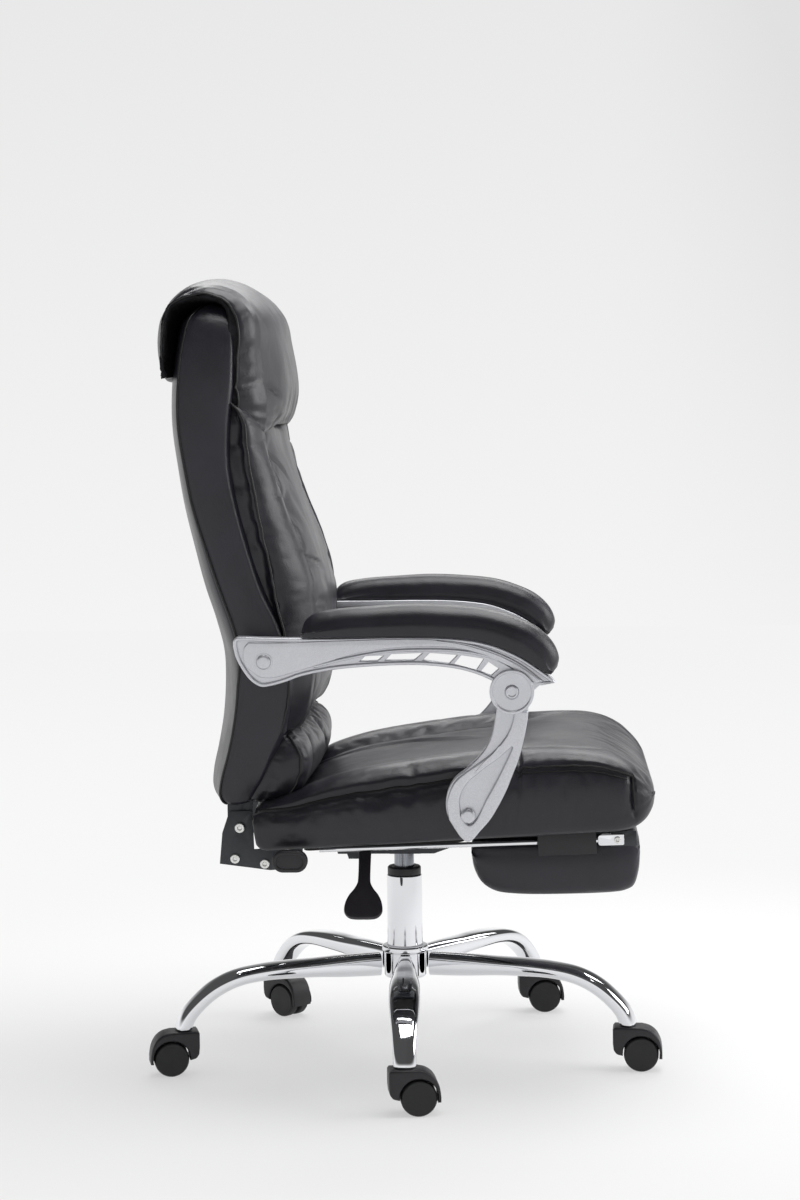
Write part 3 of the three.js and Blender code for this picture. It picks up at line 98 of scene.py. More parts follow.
# %% The camera
picture_wide, sensor_wide, focal_length = 800, 36, 2703.85
camera_stand = (183.7, -3785.84, 937.98)
pitch, yaw, roll = math.radians(4.376), math.radians(-2.797), -0.0126
camera_data = bpy.data.cameras.new("studio_camera")
camera_data.sensor_fit = "HORIZONTAL"
camera_data.sensor_width = sensor_wide
camera_data.lens = focal_length * sensor_wide / picture_wide
camera = bpy.data.objects.new("studio_camera", camera_data)
bpy.context.scene.collection.objects.link(camera)
ahead = Vector((math.sin(yaw) * math.cos(pitch), math.cos(yaw) * math.cos(pitch), -math.sin(pitch)))
level = Vector((math.cos(yaw), -math.sin(yaw), 0))
upward = level.cross(ahead)
right = level * math.cos(roll) + upward * math.sin(roll)
top = upward * math.cos(roll) - level * math.sin(roll)
turn = Matrix((right, top, -ahead)).transposed().to_4x4()
camera.matrix_world = Matrix.Translation(spot(*camera_stand)) @ turn
bpy.context.scene.camera = camera
bpy.context.scene.view_settings.view_transform = "Standard"
print("lens", round(camera_data.lens, 2), "mm")

# %% [markdown]
# ## Shader sums in plain Python
# A material is a small network of nodes. Wiring it by hand is slow, so two helpers do it. The first is a
# Signal, which is one output of a node. Adding or multiplying two Signals adds the Math node that does it.

# %% Signals
class Signal:
    """One output socket of a node, which can be used in sums."""

    def __init__(self, finish, socket):
        self.finish = finish
        self.socket = socket

    def sum(self, operation, first, second):
        return self.finish.node("ShaderNodeMath", {"operation": operation}, {0: first, 1: second})

    def __add__(self, other):
        return self.sum("ADD", self, other)

    __radd__ = __add__

    def __sub__(self, other):
        return self.sum("SUBTRACT", self, other)

    def __rsub__(self, other):
        return self.sum("SUBTRACT", other, self)

    def __mul__(self, other):
        return self.sum("MULTIPLY", self, other)

    __rmul__ = __mul__

    def at_least(self, other):
        return self.sum("MAXIMUM", self, other)

    def at_most(self, other):
        return self.sum("MINIMUM", self, other)

    def within(self, low, high):
        """0 below low, 1 above high, and a smooth step between them."""
        smooth = {"interpolation_type": "SMOOTHSTEP"}
        return self.finish.node("ShaderNodeMapRange", smooth, {"Value": self, "From Min": low, "From Max": high})


def linear(red, green, blue):
    """A colour as seen on a screen, 0 to 255, as the light values that a shader needs."""
    shares = [value / 255 for value in (red, green, blue)]
    return tuple(s / 12.92 if s <= 0.04045 else ((s + 0.055) / 1.055) ** 2.4 for s in shares) + (1.0,)


print("middle grey sends back", round(linear(128, 128, 128)[0], 3), "of the light")

# %% [markdown]
# The second helper is a Finish: the network of one material, or of the room itself. Its node method adds any
# node, sets it up and plugs in its inputs, which may be numbers, colours or Signals. Every other method is a
# short name for a node that the finishes below need often.

# %% Finishes
class Finish:
    """A network of nodes, built node by node."""

    def __init__(self, owner, output="ShaderNodeOutputMaterial"):
        owner.use_nodes = True
        self.owner = owner
        self.tree = owner.node_tree
        self.tree.nodes.clear()
        self.output = self.tree.nodes.new(output)

    def node(self, kind, settings=None, inputs=None, output=0):
        """Adds a node and gives one of its outputs. Settings go first, as some of them change its sockets."""
        node = self.tree.nodes.new(kind)
        for name, value in (settings or {}).items():
            setattr(node, name, value)
        for name, value in (inputs or {}).items():
            if isinstance(value, Signal):
                self.tree.links.new(value.socket, node.inputs[name])
            else:
                node.inputs[name].default_value = value
        return Signal(self, node.outputs[output])

    def place(self, stretch=(1, 1, 1)):
        """The object's own coordinates, in metres, stretched along its axes."""
        here = self.node("ShaderNodeTexCoord", output="Object")
        if stretch == (1, 1, 1):
            return here
        return self.node("ShaderNodeMapping", None, {"Vector": here, "Scale": stretch})

    def noise(self, size, detail=2.0, roughness=0.5, twist=0.0, stretch=(1, 1, 1)):
        """Cloudy noise whose patches are about size metres across."""
        values = {"Vector": self.place(stretch), "Scale": 1 / size, "Detail": detail}
        values.update({"Roughness": roughness, "Distortion": twist})
        return self.node("ShaderNodeTexNoise", None, values)

    def cells(self, size):
        """Rounded cells about size metres across, as the distance from each cell's middle."""
        values = {"Vector": self.place(), "Scale": 1 / size}
        return self.node("ShaderNodeTexVoronoi", {"feature": "SMOOTH_F1"}, values, "Distance")

    def mixed(self, share, low, high):
        """A colour between low and high. A Mix node for colours has its colours at sockets 6 and 7."""
        return self.node("ShaderNodeMix", {"data_type": "RGBA"}, {"Factor": share, 6: low, 7: high}, 2)

    def bump(self, height, depth, over=None):
        """Raises the surface by height, where 1 is depth metres, on top of another bump."""
        values = {"Height": height, "Distance": depth, "Strength": 1.0}
        if over is not None:
            values["Normal"] = over
        return self.node("ShaderNodeBump", None, values)

    def show(self, shader):
        self.tree.links.new(shader.socket, self.output.inputs["Surface"])
        return self.owner

    def surface(self, **values):
        """Shows the usual shader for solid things. An input's spaces are written as underscores."""
        inputs = {name.replace("_", " "): value for name, value in values.items()}
        return self.show(self.node("ShaderNodeBsdfPrincipled", None, inputs))


def new_finish(name):
    return Finish(bpy.data.materials.new(name))


print("a finish can", [name for name in vars(Finish) if not name.startswith("_")])

# %% [markdown]
# ## Leather
# The cover is coated leather cloth: nearly black, with a fine pebble grain and soft wrinkles. Its colour
# comes less from its dye than from the bright room that its smooth coat reflects, so the base colour is
# very dark. The roughness changes from place to place, as hands and sitting polish some parts.
# The grain is a cell pattern about a millimetre across, and the wrinkles are stretched noise.

# %% Leather finishes
def leather(name, shade, wrinkle=0.0009, rough=0.37, grain=0.0011):
    cover = new_finish(name)
    wear = cover.noise(0.09, 3, 0.6)
    pebbles = cover.cells(grain)
    creases = cover.noise(0.021, 2, 0.45, 0.6, (1, 1, 0.6))
    waves = cover.noise(0.065, 1, 0.4, 0.3, (1, 1, 0.7))
    soft = cover.bump(creases * 0.45 + waves * 1.5, wrinkle)
    fine = cover.bump(1 - pebbles, grain * 0.16, soft)
    dark = linear(*[value * 0.8 for value in shade])
    return cover.surface(
        Base_Color=cover.mixed(wear.within(0.3, 0.75), dark, linear(*shade)),
        Roughness=wear.within(0.25, 0.8) * 0.1 + (rough - 0.05) + creases.within(0.4, 0.8) * 0.03,
        Normal=fine,
    )


black_leather = leather("black_leather", (40, 39, 48))
panel_leather = leather("panel_leather", (34, 33, 41), wrinkle=0.0012, rough=0.36)
# The piping is a real cord, but its colour is darker than the cover's so that it also paints the shade along the seams.
piping_leather_seam_shade = leather("piping_leather_seam_shade", (18, 18, 21), wrinkle=0.0003, rough=0.36)
# This near-black finish is painted shade: the welts and stitch lines laid into the seams wear it, so the seams show
# their shade as dark lines.
seam_shade_black = leather("seam_shade_black", (8, 8, 9), wrinkle=0.0003, rough=0.7)


def lining():
    """The cloth inside the headrest: matt, woven and almost without reflection."""
    cloth = new_finish("headrest_lining")
    weave = cloth.noise(0.0012, 2, 0.5)
    folds = cloth.noise(0.02, 3, 0.5, 0.4)
    # Painted shade: the colour follows the fold bump, darker in the fold hollows and lighter on the crests. The cloth's
    # dark tone is partly its own and partly painted shade of the pillow's opening.
    return cloth.surface(
        Base_Color=cloth.mixed(folds.within(0.35, 0.7), linear(26, 26, 28), linear(38, 38, 42)),
        Roughness=weave * 0.1 + 0.8,
        Specular_IOR_Level=0.2,
        Normal=cloth.bump(weave, 0.0003, cloth.bump(folds, 0.002)),
    )


lining_cloth = lining()
print("leathers", black_leather.name, panel_leather.name, piping_leather_seam_shade.name, lining_cloth.name)

# %% [markdown]
# ## Metals
# The base and the tube are chromed: a perfect mirror, but for a faint waviness left by polishing. The arms
# are cast alloy with a satin silver lacquer, which has a very fine speckle. The bolts are zinc plated, and
# the brackets are covered in dark powder paint.

# %% Metal finishes
def mirror_chrome():
    metal = new_finish("mirror_chrome")
    ripple = metal.noise(0.03, 1, 0.4)
    haze = metal.noise(0.12, 4, 0.6)
    return metal.surface(
        Base_Color=linear(232, 233, 236),
        Metallic=1.0,
        Roughness=haze.within(0.45, 0.8) * 0.05 + 0.035,
        Normal=metal.bump(ripple, 0.00025),
    )


def satin_lacquer():
    metal = new_finish("satin_silver")
    speckle = metal.noise(0.0007, 1, 0.5)
    cloud = metal.noise(0.08, 3, 0.6)
    return metal.surface(
        Base_Color=metal.mixed(speckle.within(0.35, 0.7), linear(200, 201, 206), linear(222, 223, 228)),
        Metallic=0.75,
        Roughness=cloud.within(0.3, 0.75) * 0.06 + 0.3,
        Normal=metal.bump(speckle, 0.00006),
    )


def ground_steel():
    """The bare piston of the gas spring: hard steel, ground and polished lengthwise."""
    metal = new_finish("ground_steel")
    lines = metal.noise(0.0008, 2, 0.5, 0.0, (1, 1, 0.03))
    return metal.surface(
        Base_Color=metal.mixed(lines.within(0.3, 0.7), linear(128, 131, 137), linear(158, 161, 167)),
        Metallic=1.0,
        Roughness=lines * 0.1 + 0.2,
        Normal=metal.bump(lines, 0.00003),
    )


def zinc_plating():
    metal = new_finish("zinc_plating")
    patches = metal.noise(0.004, 3, 0.6)
    return metal.surface(
        Base_Color=metal.mixed(patches.within(0.3, 0.7), linear(222, 222, 218), linear(236, 236, 236)),
        Metallic=0.9,
        Roughness=patches * 0.12 + 0.2,
        Normal=metal.bump(patches, 0.00005),
    )


def powder_paint():
    paint = new_finish("dark_powder_paint")
    peel = paint.noise(0.0016, 2, 0.5)
    dust = paint.noise(0.05, 4, 0.65)
    return paint.surface(
        Base_Color=paint.mixed(dust.within(0.4, 0.75), linear(44, 48, 53), linear(54, 58, 62)),
        Roughness=dust.within(0.3, 0.8) * 0.1 + 0.38,
        Normal=paint.bump(peel, 0.00012),
    )


chrome = mirror_chrome()
silver = satin_lacquer()
steel = ground_steel()
zinc = zinc_plating()
paint = powder_paint()
print("metals", chrome.name, silver.name, zinc.name, paint.name)

# %% [markdown]
# ## Plastic and board
# Casters, sleeves, lever and grip are moulded in black nylon with a fine spark texture. The boards under
# the seat and the footrest are plywood stained black, which shows a faint grain along its length.

# %% Plastic and board finishes
def moulded_nylon(name, shade, rough):
    nylon = new_finish(name)
    spark = nylon.noise(0.0009, 3, 0.6)
    scuff = nylon.noise(0.018, 4, 0.7)
    worn = linear(*[value + 9 for value in shade])
    return nylon.surface(
        Base_Color=nylon.mixed(scuff.within(0.5, 0.8), linear(*shade), worn),
        Roughness=scuff.within(0.3, 0.8) * 0.12 + rough,
        Normal=nylon.bump(spark, 0.00009),
    )


def stained_board():
    wood = new_finish("stained_board")
    grain = wood.noise(0.004, 5, 0.6, 0.4, (0.08, 1, 1))
    return wood.surface(
        Base_Color=wood.mixed(grain.within(0.35, 0.7), linear(24, 23, 23), linear(40, 38, 36)),
        Roughness=grain * 0.2 + 0.6,
        Normal=wood.bump(grain, 0.0003),
    )


nylon = moulded_nylon("black_nylon", (33, 32, 36), 0.42)
lever_nylon = moulded_nylon("lever_nylon", (46, 43, 49), 0.4)
tyre = moulded_nylon("tyre_nylon", (24, 24, 26), 0.5)
board_stain = stained_board()
print("plastics", nylon.name, tyre.name, board_stain.name)

# %% [markdown]
# ## Room, floor and lamps
# The studio is a pale, seamless room. The camera sees a wall that is a little darker towards the top, while
# a gentler level of light falls on the chair. Metal mirrors bright walls and a dark ceiling, which gives
# chrome its dark band along the top. One broad soft lamp hangs above, so the tops of the cushions are bright
# and their sides are dark, as in the photograph.

# %% The room
def ray(finish, kind):
    """1 for one kind of ray, such as those that leave the camera, and 0 for all others."""
    return finish.node("ShaderNodeLightPath", output=f"Is {kind} Ray")


room = bpy.data.worlds.new("pale_room")
bpy.context.scene.world = room
walls = Finish(room, "ShaderNodeOutputWorld")
look = walls.node("ShaderNodeTexCoord", output="Generated")
rise = walls.node("ShaderNodeSeparateXYZ", None, {"Vector": look}, "Z")
sideways = walls.node("ShaderNodeSeparateXYZ", None, {"Vector": look}, "X")
# Painted falloff of the light: the room's colour darkens towards the top and towards +X, as light falls off on a white
# sweep.
painted_top_falloff = (rise * 4.4 + 0.38).at_least(0.0).at_most(1.0)
painted_side_falloff = sideways.within(0.02, 0.15) * (painted_top_falloff * 0.65 + 0.2)
greyer = (painted_top_falloff * 0.6 + painted_side_falloff).at_most(1.0)
backdrop_falloff_tone = walls.mixed(greyer, linear(244, 244, 244), linear(225, 225, 225))
direct = ray(walls, "Camera").at_least(ray(walls, "Transmission"))
mirrored = ray(walls, "Glossy")
mirror_level = 1.16 - rise.within(0.06, 0.34) * 1.06
light_level = 0.6
strength = direct + (1 - direct) * (mirrored * mirror_level + (1 - mirrored) * light_level)
walls.show(walls.node("ShaderNodeBackground", None, {"Color": backdrop_falloff_tone, "Strength": strength}))
print("room", room.name, "with", len(walls.tree.nodes), "nodes")

# %% [markdown]
# A lamp is a glowing sheet. The wider it is, the softer its light, and leather shows it as a broad pale
# patch. The one overhead is the main lamp. One behind the chair draws its outline, and one in front of the
# sitter's place lights the face of the back.

# %% The lamps
def soft_lamp(name, place, aim, size, power):
    lamp = bpy.data.lights.new(name, "AREA")
    lamp.shape = "RECTANGLE"
    lamp.size, lamp.size_y = size
    lamp.energy = power
    holder = bpy.data.objects.new(name, lamp)
    bpy.context.scene.collection.objects.link(holder)
    holder.location = place
    holder.rotation_euler = (Vector(aim) - Vector(place)).to_track_quat("-Z", "Y").to_euler()


soft_lamp("overhead_softbox", (0.35, 0.1, 2.7), (0.0, 0.0, 0.5), (1.9, 1.7), 52)
soft_lamp("rear_softbox", (0.5, 3.0, 2.9), (0.0, 0.0, 0.8), (3.8, 1.3), 62)
soft_lamp("front_softbox", (2.7, 0.1, 1.75), (0.1, 0.0, 0.8), (2.4, 1.5), 46)

# %% [markdown]
# The floor has to look like the same white paper as the wall and still carry a faint shadow. So the camera
# sees a mix of two things: paper that glows with the wall's own tone, and plain matt paper that is lit by
# the lamps. Close to the chair the matt part counts, and far away only the glow is left, so that no
# horizon shows.

# %% The floor
def floor_paper():
    paper = new_finish("pale_floor")
    back_from_chair = paper.node("ShaderNodeSeparateXYZ", None, {"Vector": paper.place()}, "Y")
    away = paper.node("ShaderNodeVectorMath", {"operation": "LENGTH"}, {"Vector": paper.place()}, "Value")
    blotch = paper.noise(1.4, 1, 0.4).within(0.3, 0.7)
    matt_tone = paper.mixed(blotch, linear(222, 222, 222), linear(226, 226, 226))
    # Painted falloff of the light: the glow is darker on the camera's side of the chair and a little darker far behind
    # it.
    near_tone = paper.mixed(back_from_chair.within(-0.75, 0.6), linear(240, 240, 240), linear(248, 248, 248))
    glow_tone = paper.mixed(back_from_chair.within(0.8, 6.5), near_tone, linear(243, 243, 243))
    matt = paper.node("ShaderNodeBsdfDiffuse", None, {"Color": matt_tone})
    glow = paper.node("ShaderNodeEmission", None, {"Color": glow_tone})
    seen = ray(paper, "Camera").at_least(ray(paper, "Glossy"))
    share = seen * (away.within(0.7, 1.8) * 0.45 + 0.55)
    return paper.show(paper.node("ShaderNodeMixShader", None, {0: share, 1: matt, 2: glow}))


bpy.ops.object.select_all(action="DESELECT")
bpy.ops.mesh.primitive_plane_add(size=14, location=(0, 0, 0))
floor = bpy.context.active_object
floor.name = "studio_floor"
floor.data.materials.append(floor_paper())
bpy.ops.object.transform_apply(location=True, rotation=True, scale=True)
print("floor", [round(value, 1) for value in floor.dimensions])

# %% [markdown]
# ## How a padded form is made
# Every cushion here is a loft. A table gives rows of points along its profile: where its lower skin is,
# where its upper skin is, and how wide it is there. A smooth line runs through each column of the table.
# The form is then a soft box: an upper skin, a lower skin and the walls between them, which meet in
# rounded edges. Working from tables keeps each cushion inside the room that the frame gives it.

# %% Lines through the rows of a table
def smooth_line(points, shares):
    """Points on a smooth line through the given points, at shares from 0 to 1 of the way along it."""
    points = np.asarray(points, float)
    padded = np.vstack([2 * points[0] - points[1], points, 2 * points[-1] - points[-2]])
    place = np.asarray(shares, float) * (len(points) - 1)
    index = np.minimum(place.astype(int), len(points) - 2)
    weight = (place - index)[..., None]
    before, start, end, after = (padded[index + k] for k in range(4))
    gaps = ((before, start), (start, end), (end, after))
    first, middle, last = (np.maximum(1e-4, np.linalg.norm(b - a, axis=-1) ** 0.5)[..., None] for a, b in gaps)
    low = ((start - before) / first - (end - before) / (first + middle) + (end - start) / middle) * middle
    high = ((end - start) / middle - (after - start) / (middle + last) + (after - end) / last) * middle
    bend, twist = 3 * (end - start) - 2 * low - high, 2 * (start - end) + low + high
    return start + low * weight + bend * weight**2 + twist * weight**3


def ramp(low, high, value):
    """0 below low, 1 above high, and a smooth step between them."""
    share = np.clip((value - low) / (high - low), 0, 1)
    return share * share * (3 - 2 * share)


def edge_drop(radius, half, across):
    """How far a rounded edge draws a skin in."""
    turned_in = np.maximum(0, (np.abs(across) * half - half + radius) / radius)
    return radius * (1 - np.sqrt(np.maximum(0, 1 - turned_in**2)))


print("middle of a test line", smooth_line([(0, 0), (1, 1), (2, 0)], [0.5])[0].round(3))

# %% [markdown]
# The grid of a padded form is a box of squares: so many along, so many across and a few through its
# thickness. Only the squares on the outside are kept. The steps across crowd together at the edges,
# where the form turns over, so that the turn is round.

# %% The grid of a padded form
def steps_across(half, edge, count, turn_steps=6):
    """Steps from -1 to 1, closer together where the edge turns."""
    share = edge / half
    outer = 1 - share + share * np.sin(np.arange(1, turn_steps + 1) / turn_steps * math.pi / 2)
    inner = np.linspace(-(1 - share), 1 - share, count)
    return np.concatenate([-outer[::-1], inner, outer])


def box_grid(along, across, through):
    """Faces on the outside of a box of along x across x through steps, as indices into its full grid."""
    number = np.arange(along * across * through).reshape(along, across, through)
    faces = []
    for sheet, flip in ((number[:, :, 0], False), (number[:, :, -1], True), (number[:, 0, :], True),
                        (number[:, -1, :], False), (number[0, :, :], True), (number[-1, :, :], False)):
        quads = np.stack([sheet[:-1, :-1], sheet[:-1, 1:], sheet[1:, 1:], sheet[1:, :-1]], -1).reshape(-1, 4)
        faces.append(quads[:, ::-1] if flip else quads)
    return np.vstack(faces)


print("faces of a small box grid", len(box_grid(4, 3, 3)))

# %% [markdown]
# Now the box is given its shape. The rows of the table place its lower and its upper skin, and the edges are
# drawn in by a drop that may change along the form. A swell pushes the upper skin out, a sag pushes the
# lower one out, and a belly rounds the side walls.

# %% The padded form
def flat_face(t, s):
    return t * 0


def along_form(value, t):
    """A size that may change along the form: a number, or pairs of a share along it and a number."""
    if isinstance(value, (int, float)):
        return np.full((len(t), 1, 1), float(value))
    shares, sizes = zip(*value)
    return np.interp(t, shares, sizes)[:, None, None]


def padded_form(rows, half, edge, along=70, across=40, through=8, cap=0.42, drop=None, lower_edge=None,
                lower_drop=None, swell=flat_face, sag=flat_face, belly=0):
    """Points of a padded form on a grid of shape (along, across, through, 3), in chair millimetres."""
    rows = np.asarray(rows, float)
    lower_edge = lower_edge or edge
    t = np.linspace(0, 1, along) if isinstance(along, int) else np.asarray(along, float)
    s = steps_across(half, edge, across)
    lower = smooth_line(np.c_[rows[:, 0], rows[:, 0] * 0, rows[:, 1]], t)[:, None, :]
    upper = smooth_line(np.c_[rows[:, 2], rows[:, 2] * 0, rows[:, 3]], t)[:, None, :]
    wide = smooth_line(np.c_[np.arange(len(rows)), rows[:, 4]], t)[:, 1][:, None]
    thick = upper - lower
    reach = np.linalg.norm(thick, axis=-1, keepdims=True)
    thick = thick / reach
    drop_share = along_form(drop or edge, t) / edge
    lower_share = along_form(lower_drop or lower_edge, t) / lower_edge
    down = np.minimum(edge_drop(edge, half, s)[None, :, None] * drop_share, cap * reach)
    up = np.minimum(edge_drop(lower_edge, half, s)[None, :, None] * lower_share, cap * reach)
    tt, ss = np.meshgrid(t, s, indexing="ij")
    low_skin = lower + thick * (up - sag(tt, ss)[..., None])
    high_skin = upper + thick * (swell(tt, ss)[..., None] - down)
    share = np.linspace(0, 1, through)[None, None, :, None]
    grid = low_skin[:, :, None, :] * (1 - share) + high_skin[:, :, None, :] * share
    bulge = belly * np.sin(math.pi * share[..., 0]) * (np.abs(ss) > 0.999)[..., None]
    grid[..., 1] = (s[None, :] * half * wide)[..., None] + np.sign(ss)[..., None] * bulge
    return grid, t, s


sample, _, _ = padded_form([(0, 0, 0, 9, 1), (50, 0, 50, 12, 1), (99, 0, 99, 9, 1)], 40, 4, along=5, across=4, through=3)
print("a small form runs from", sample.min(axis=(0, 1, 2)).round(), "to", sample.max(axis=(0, 1, 2)).round(), "mm")

# %% [markdown]
# Leather is never even. Two helpers give it life: a ridge is one smooth crease or welt, and wrinkles are
# waves that cross and disturb each other. They are sums of sines, so they are the same on every run.

# %% Ridges and wrinkles
def ridge(value, middle, width):
    """A smooth ridge of height 1 about a middle."""
    return np.exp(-(((value - middle) / width) ** 2))


def wrinkles(u, v, seed):
    """Soft, irregular folds between -1 and 1, the same on every run."""
    total = np.zeros(np.broadcast(u, v).shape)
    for turn in range(5):
        angle = 1.7 * turn + seed
        waves = np.sin(u * (1 + 0.37 * turn) + 1.3 * np.sin(v * 0.31 + angle) + angle)
        crossing = np.sin(v * (0.6 + 0.23 * turn) + 1.7 * np.sin(u * 0.27 + 2 * angle) + 3 * angle)
        total = total + waves * crossing / (1 + 0.5 * turn)
    return total / 2


print("wrinkles at a corner", wrinkles(np.zeros(1), np.zeros(1), 3).round(3))

# %% [markdown]
# A mesh is built from the grid in one go. The squares inside the box are dropped with their points, the
# doubles along the box's edges never arise, and the normals are made to point outwards.

# %% From grid to mesh
def to_scene(points):
    """Chair millimetres to scene metres, for many points at once."""
    return points * MM + np.array([column.x, column.y, 0])


def skin(name, grid, finish):
    """A closed mesh over the outside of a grid."""
    along, across, through = grid.shape[:3]
    quads = box_grid(along, across, through)
    used, order = np.unique(quads, return_inverse=True)
    points = to_scene(grid.reshape(-1, 3)[used])
    mesh = bpy.data.meshes.new(name)
    mesh.from_pydata(points.tolist(), [], order.reshape(-1, 4).tolist())
    mesh.validate()
    piece = bpy.data.objects.new(name, mesh)
    bpy.context.scene.collection.objects.link(piece)
    mesh.materials.append(finish)
    turn_faces_out(piece)
    mesh.shade_smooth()
    return piece


def pick(*pieces):
    """Selects only these pieces."""
    bpy.ops.object.select_all(action="DESELECT")
    for piece in pieces:
        piece.select_set(True)
    bpy.context.view_layer.objects.active = pieces[0]


def turn_faces_out(piece):
    pick(piece)
    bpy.ops.object.mode_set(mode="EDIT")
    bpy.ops.mesh.select_all(action="SELECT")
    bpy.ops.mesh.remove_doubles(threshold=0.000001)
    bpy.ops.mesh.normals_make_consistent(inside=False)
    bpy.ops.object.mode_set(mode="OBJECT")


def finish_modifiers(piece):
    """Applies every modifier of a piece, in order."""
    pick(piece)
    for modifier in list(piece.modifiers):
        bpy.ops.object.modifier_apply(modifier=modifier.name)


print("a point 1 m up the column lies at", to_scene(np.array([0, 0, 1000])).round(3))

# %% [markdown] A drawn form is too even for sewn leather. So each cover is drawn in a little and blown up
# again as cloth: its seams and its underside are held, pressure fills it like foam, and the cloth, cut a
# little too large, gathers in its own folds. How far a point may move is capped, so that the cover stays in
# its room.

# %% Covers that settle over their filling
cloth_frames, cloth_pressure = 20, 4.0


def evened(values, rounds):
    """Spreads the values of a grid softly over their neighbours."""
    for _ in range(rounds):
        for axis in range(3):
            steps = np.arange(values.shape[axis])
            before = np.take(values, np.maximum(steps - 1, 0), axis)
            after = np.take(values, np.minimum(steps + 1, steps[-1]), axis)
            values = (before + 2 * values + after) / 4
    return values


def settled_cover(cover, held, inset, cap, slack):
    """Blows a cover up as cloth. held is 1 on the grid where a seam or the board holds it, and 0 elsewhere."""
    used = np.unique(box_grid(*held.shape))
    mesh = cover.data
    if len(used) != len(mesh.vertices):
        print(cover.name, "keeps its drawn form:", len(used), "points drawn,", len(mesh.vertices), "in the mesh")
        return
    hold = held.reshape(-1)[used]
    loose = np.clip(1 - evened(held.astype(float), 3).reshape(-1)[used] * 1.6, 0, 1)
    start = np.empty(len(used) * 3)
    mesh.vertices.foreach_get("co", start)
    facing = np.empty(len(used) * 3)
    mesh.vertices.foreach_get("normal", facing)
    start, facing = start.reshape(-1, 3), facing.reshape(-1, 3)
    start = start - facing * (loose * inset * MM)[:, None]
    mesh.vertices.foreach_set("co", start.ravel())
    mesh.update()
    pins = cover.vertex_groups.new(name="held")
    pins.add([int(index) for index in np.nonzero(hold > 0.5)[0]], 1.0, "REPLACE")
    cloth = cover.modifiers.new("stuffing", "CLOTH")
    cloth.settings.quality = 4
    cloth.settings.use_pressure = True
    cloth.settings.uniform_pressure_force = cloth_pressure
    cloth.settings.shrink_min = -slack
    cloth.settings.vertex_group_mass = "held"
    cloth.settings.effector_weights.gravity = 0
    cloth.collision_settings.use_collision = False
    cloth.point_cache.frame_start = 1
    cloth.point_cache.frame_end = cloth_frames
    for moment in range(1, cloth_frames + 1):
        bpy.context.scene.frame_set(moment)
    result = cover.evaluated_get(bpy.context.evaluated_depsgraph_get())
    end = np.empty(len(used) * 3)
    result.data.vertices.foreach_get("co", end)
    moved = end.reshape(-1, 3) - start
    far = np.maximum(1e-9, np.linalg.norm(moved, axis=1))
    capped = np.tanh(far / (cap * MM)) * cap * MM
    middle, most = (round(float(value) / MM, 1) for value in (np.percentile(far, 50), far.max()))
    print(cover.name, "moved", middle, "to", most, "mm, capped at", cap)
    cover.modifiers.remove(cloth)
    cover.vertex_groups.remove(pins)
    bpy.context.scene.frame_set(1)
    mesh.vertices.foreach_set("co", (start + moved * (capped / far)[:, None]).ravel())
    mesh.update()


def seams_held(grid):
    """Holds the lower skin, the upper edges and both ends of a grid."""
    held = np.zeros(grid.shape[:3])
    held[:, :, 0] = 1
    held[:, 0, -1] = held[:, -1, -1] = 1
    held[0] = held[-1] = 1
    return held


print("a cover settles over", cloth_frames, "frames")

# %% [markdown]
# A finished piece is handed to the frame: it is attached to the body that it rides on, and the plain nodes
# that it stands for are hidden. The print shows how heavy its mesh has become.

# %% Handing a piece over
def settle(piece, body, slot, *nodes, fill=None):
    """Hands a finished piece to the frame."""
    if nodes:
        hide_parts(*nodes)
    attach(piece, body)
    print(piece.name, len(piece.data.polygons), "faces")
    return piece

# %% [markdown]
# ## Piping and seams
# A sewn edge shows as a thin raised cord or a fine welt. It is a tube swept along the edge of the form.
# We draw the edge as a curve with a round bevel, thin enough to read as piping, and make it a mesh.

# %% Piping along an edge
def piping(name, points, radius, finish=piping_leather_seam_shade):
    """A thin tube along points given in scene metres."""
    line = bpy.data.curves.new(name, "CURVE")
    line.dimensions = "3D"
    line.bevel_depth = radius * MM
    line.bevel_resolution = 2
    line.use_fill_caps = True
    spline = line.splines.new("POLY")
    spline.points.add(len(points) - 1)
    for point, place in zip(spline.points, points):
        point.co = (*place, 1)
    cord = bpy.data.objects.new(name, line)
    bpy.context.scene.collection.objects.link(cord)
    pick(cord)
    bpy.ops.object.convert(target="MESH")
    cord = bpy.context.active_object
    cord.data.materials.clear()
    cord.data.materials.append(finish)
    turn_faces_out(cord)
    cord.data.shade_smooth()
    return cord


def joined(name, pieces):
    """Makes one piece of several."""
    pick(*pieces)
    bpy.ops.object.join()
    whole = bpy.context.active_object
    whole.name = name
    whole.data.name = name
    return whole


print("piping wears", piping_leather_seam_shade.name)

# %% [markdown]
# Four small helpers are shared by the cushions: one sizes a table of shares, one finds the step of a grid
# that is nearest to a place, one lays a form on a slope, and one folds the side walls of a form softly.

# %% Shared by the cushions
EDGES = ((0, -1), (-1, 1))


def sized(table, start, size):
    """Rows of (x, z, x, z, width) shares as rows in millimetres. The width stays a share."""
    return [
        (start[0] + a * size[0], start[1] + b * size[1], start[0] + c * size[0], start[1] + d * size[1], wide)
        for a, b, c, d, wide in table
    ]


def nearest(steps, place):
    return int(np.argmin(np.abs(steps - place)))


def sloped(x, z, tilt, foot):
    """Turns a place in the side view by tilt, and then moves it by foot."""
    return x * math.cos(tilt) - z * math.sin(tilt) + foot[0], x * math.sin(tilt) + z * math.cos(tilt) + foot[1]


def lay(grid, tilt, foot):
    """A form that was drawn level, laid on a slope."""
    laid = grid.copy()
    laid[..., 0], laid[..., 2] = sloped(grid[..., 0], grid[..., 2], tilt, foot)
    return laid


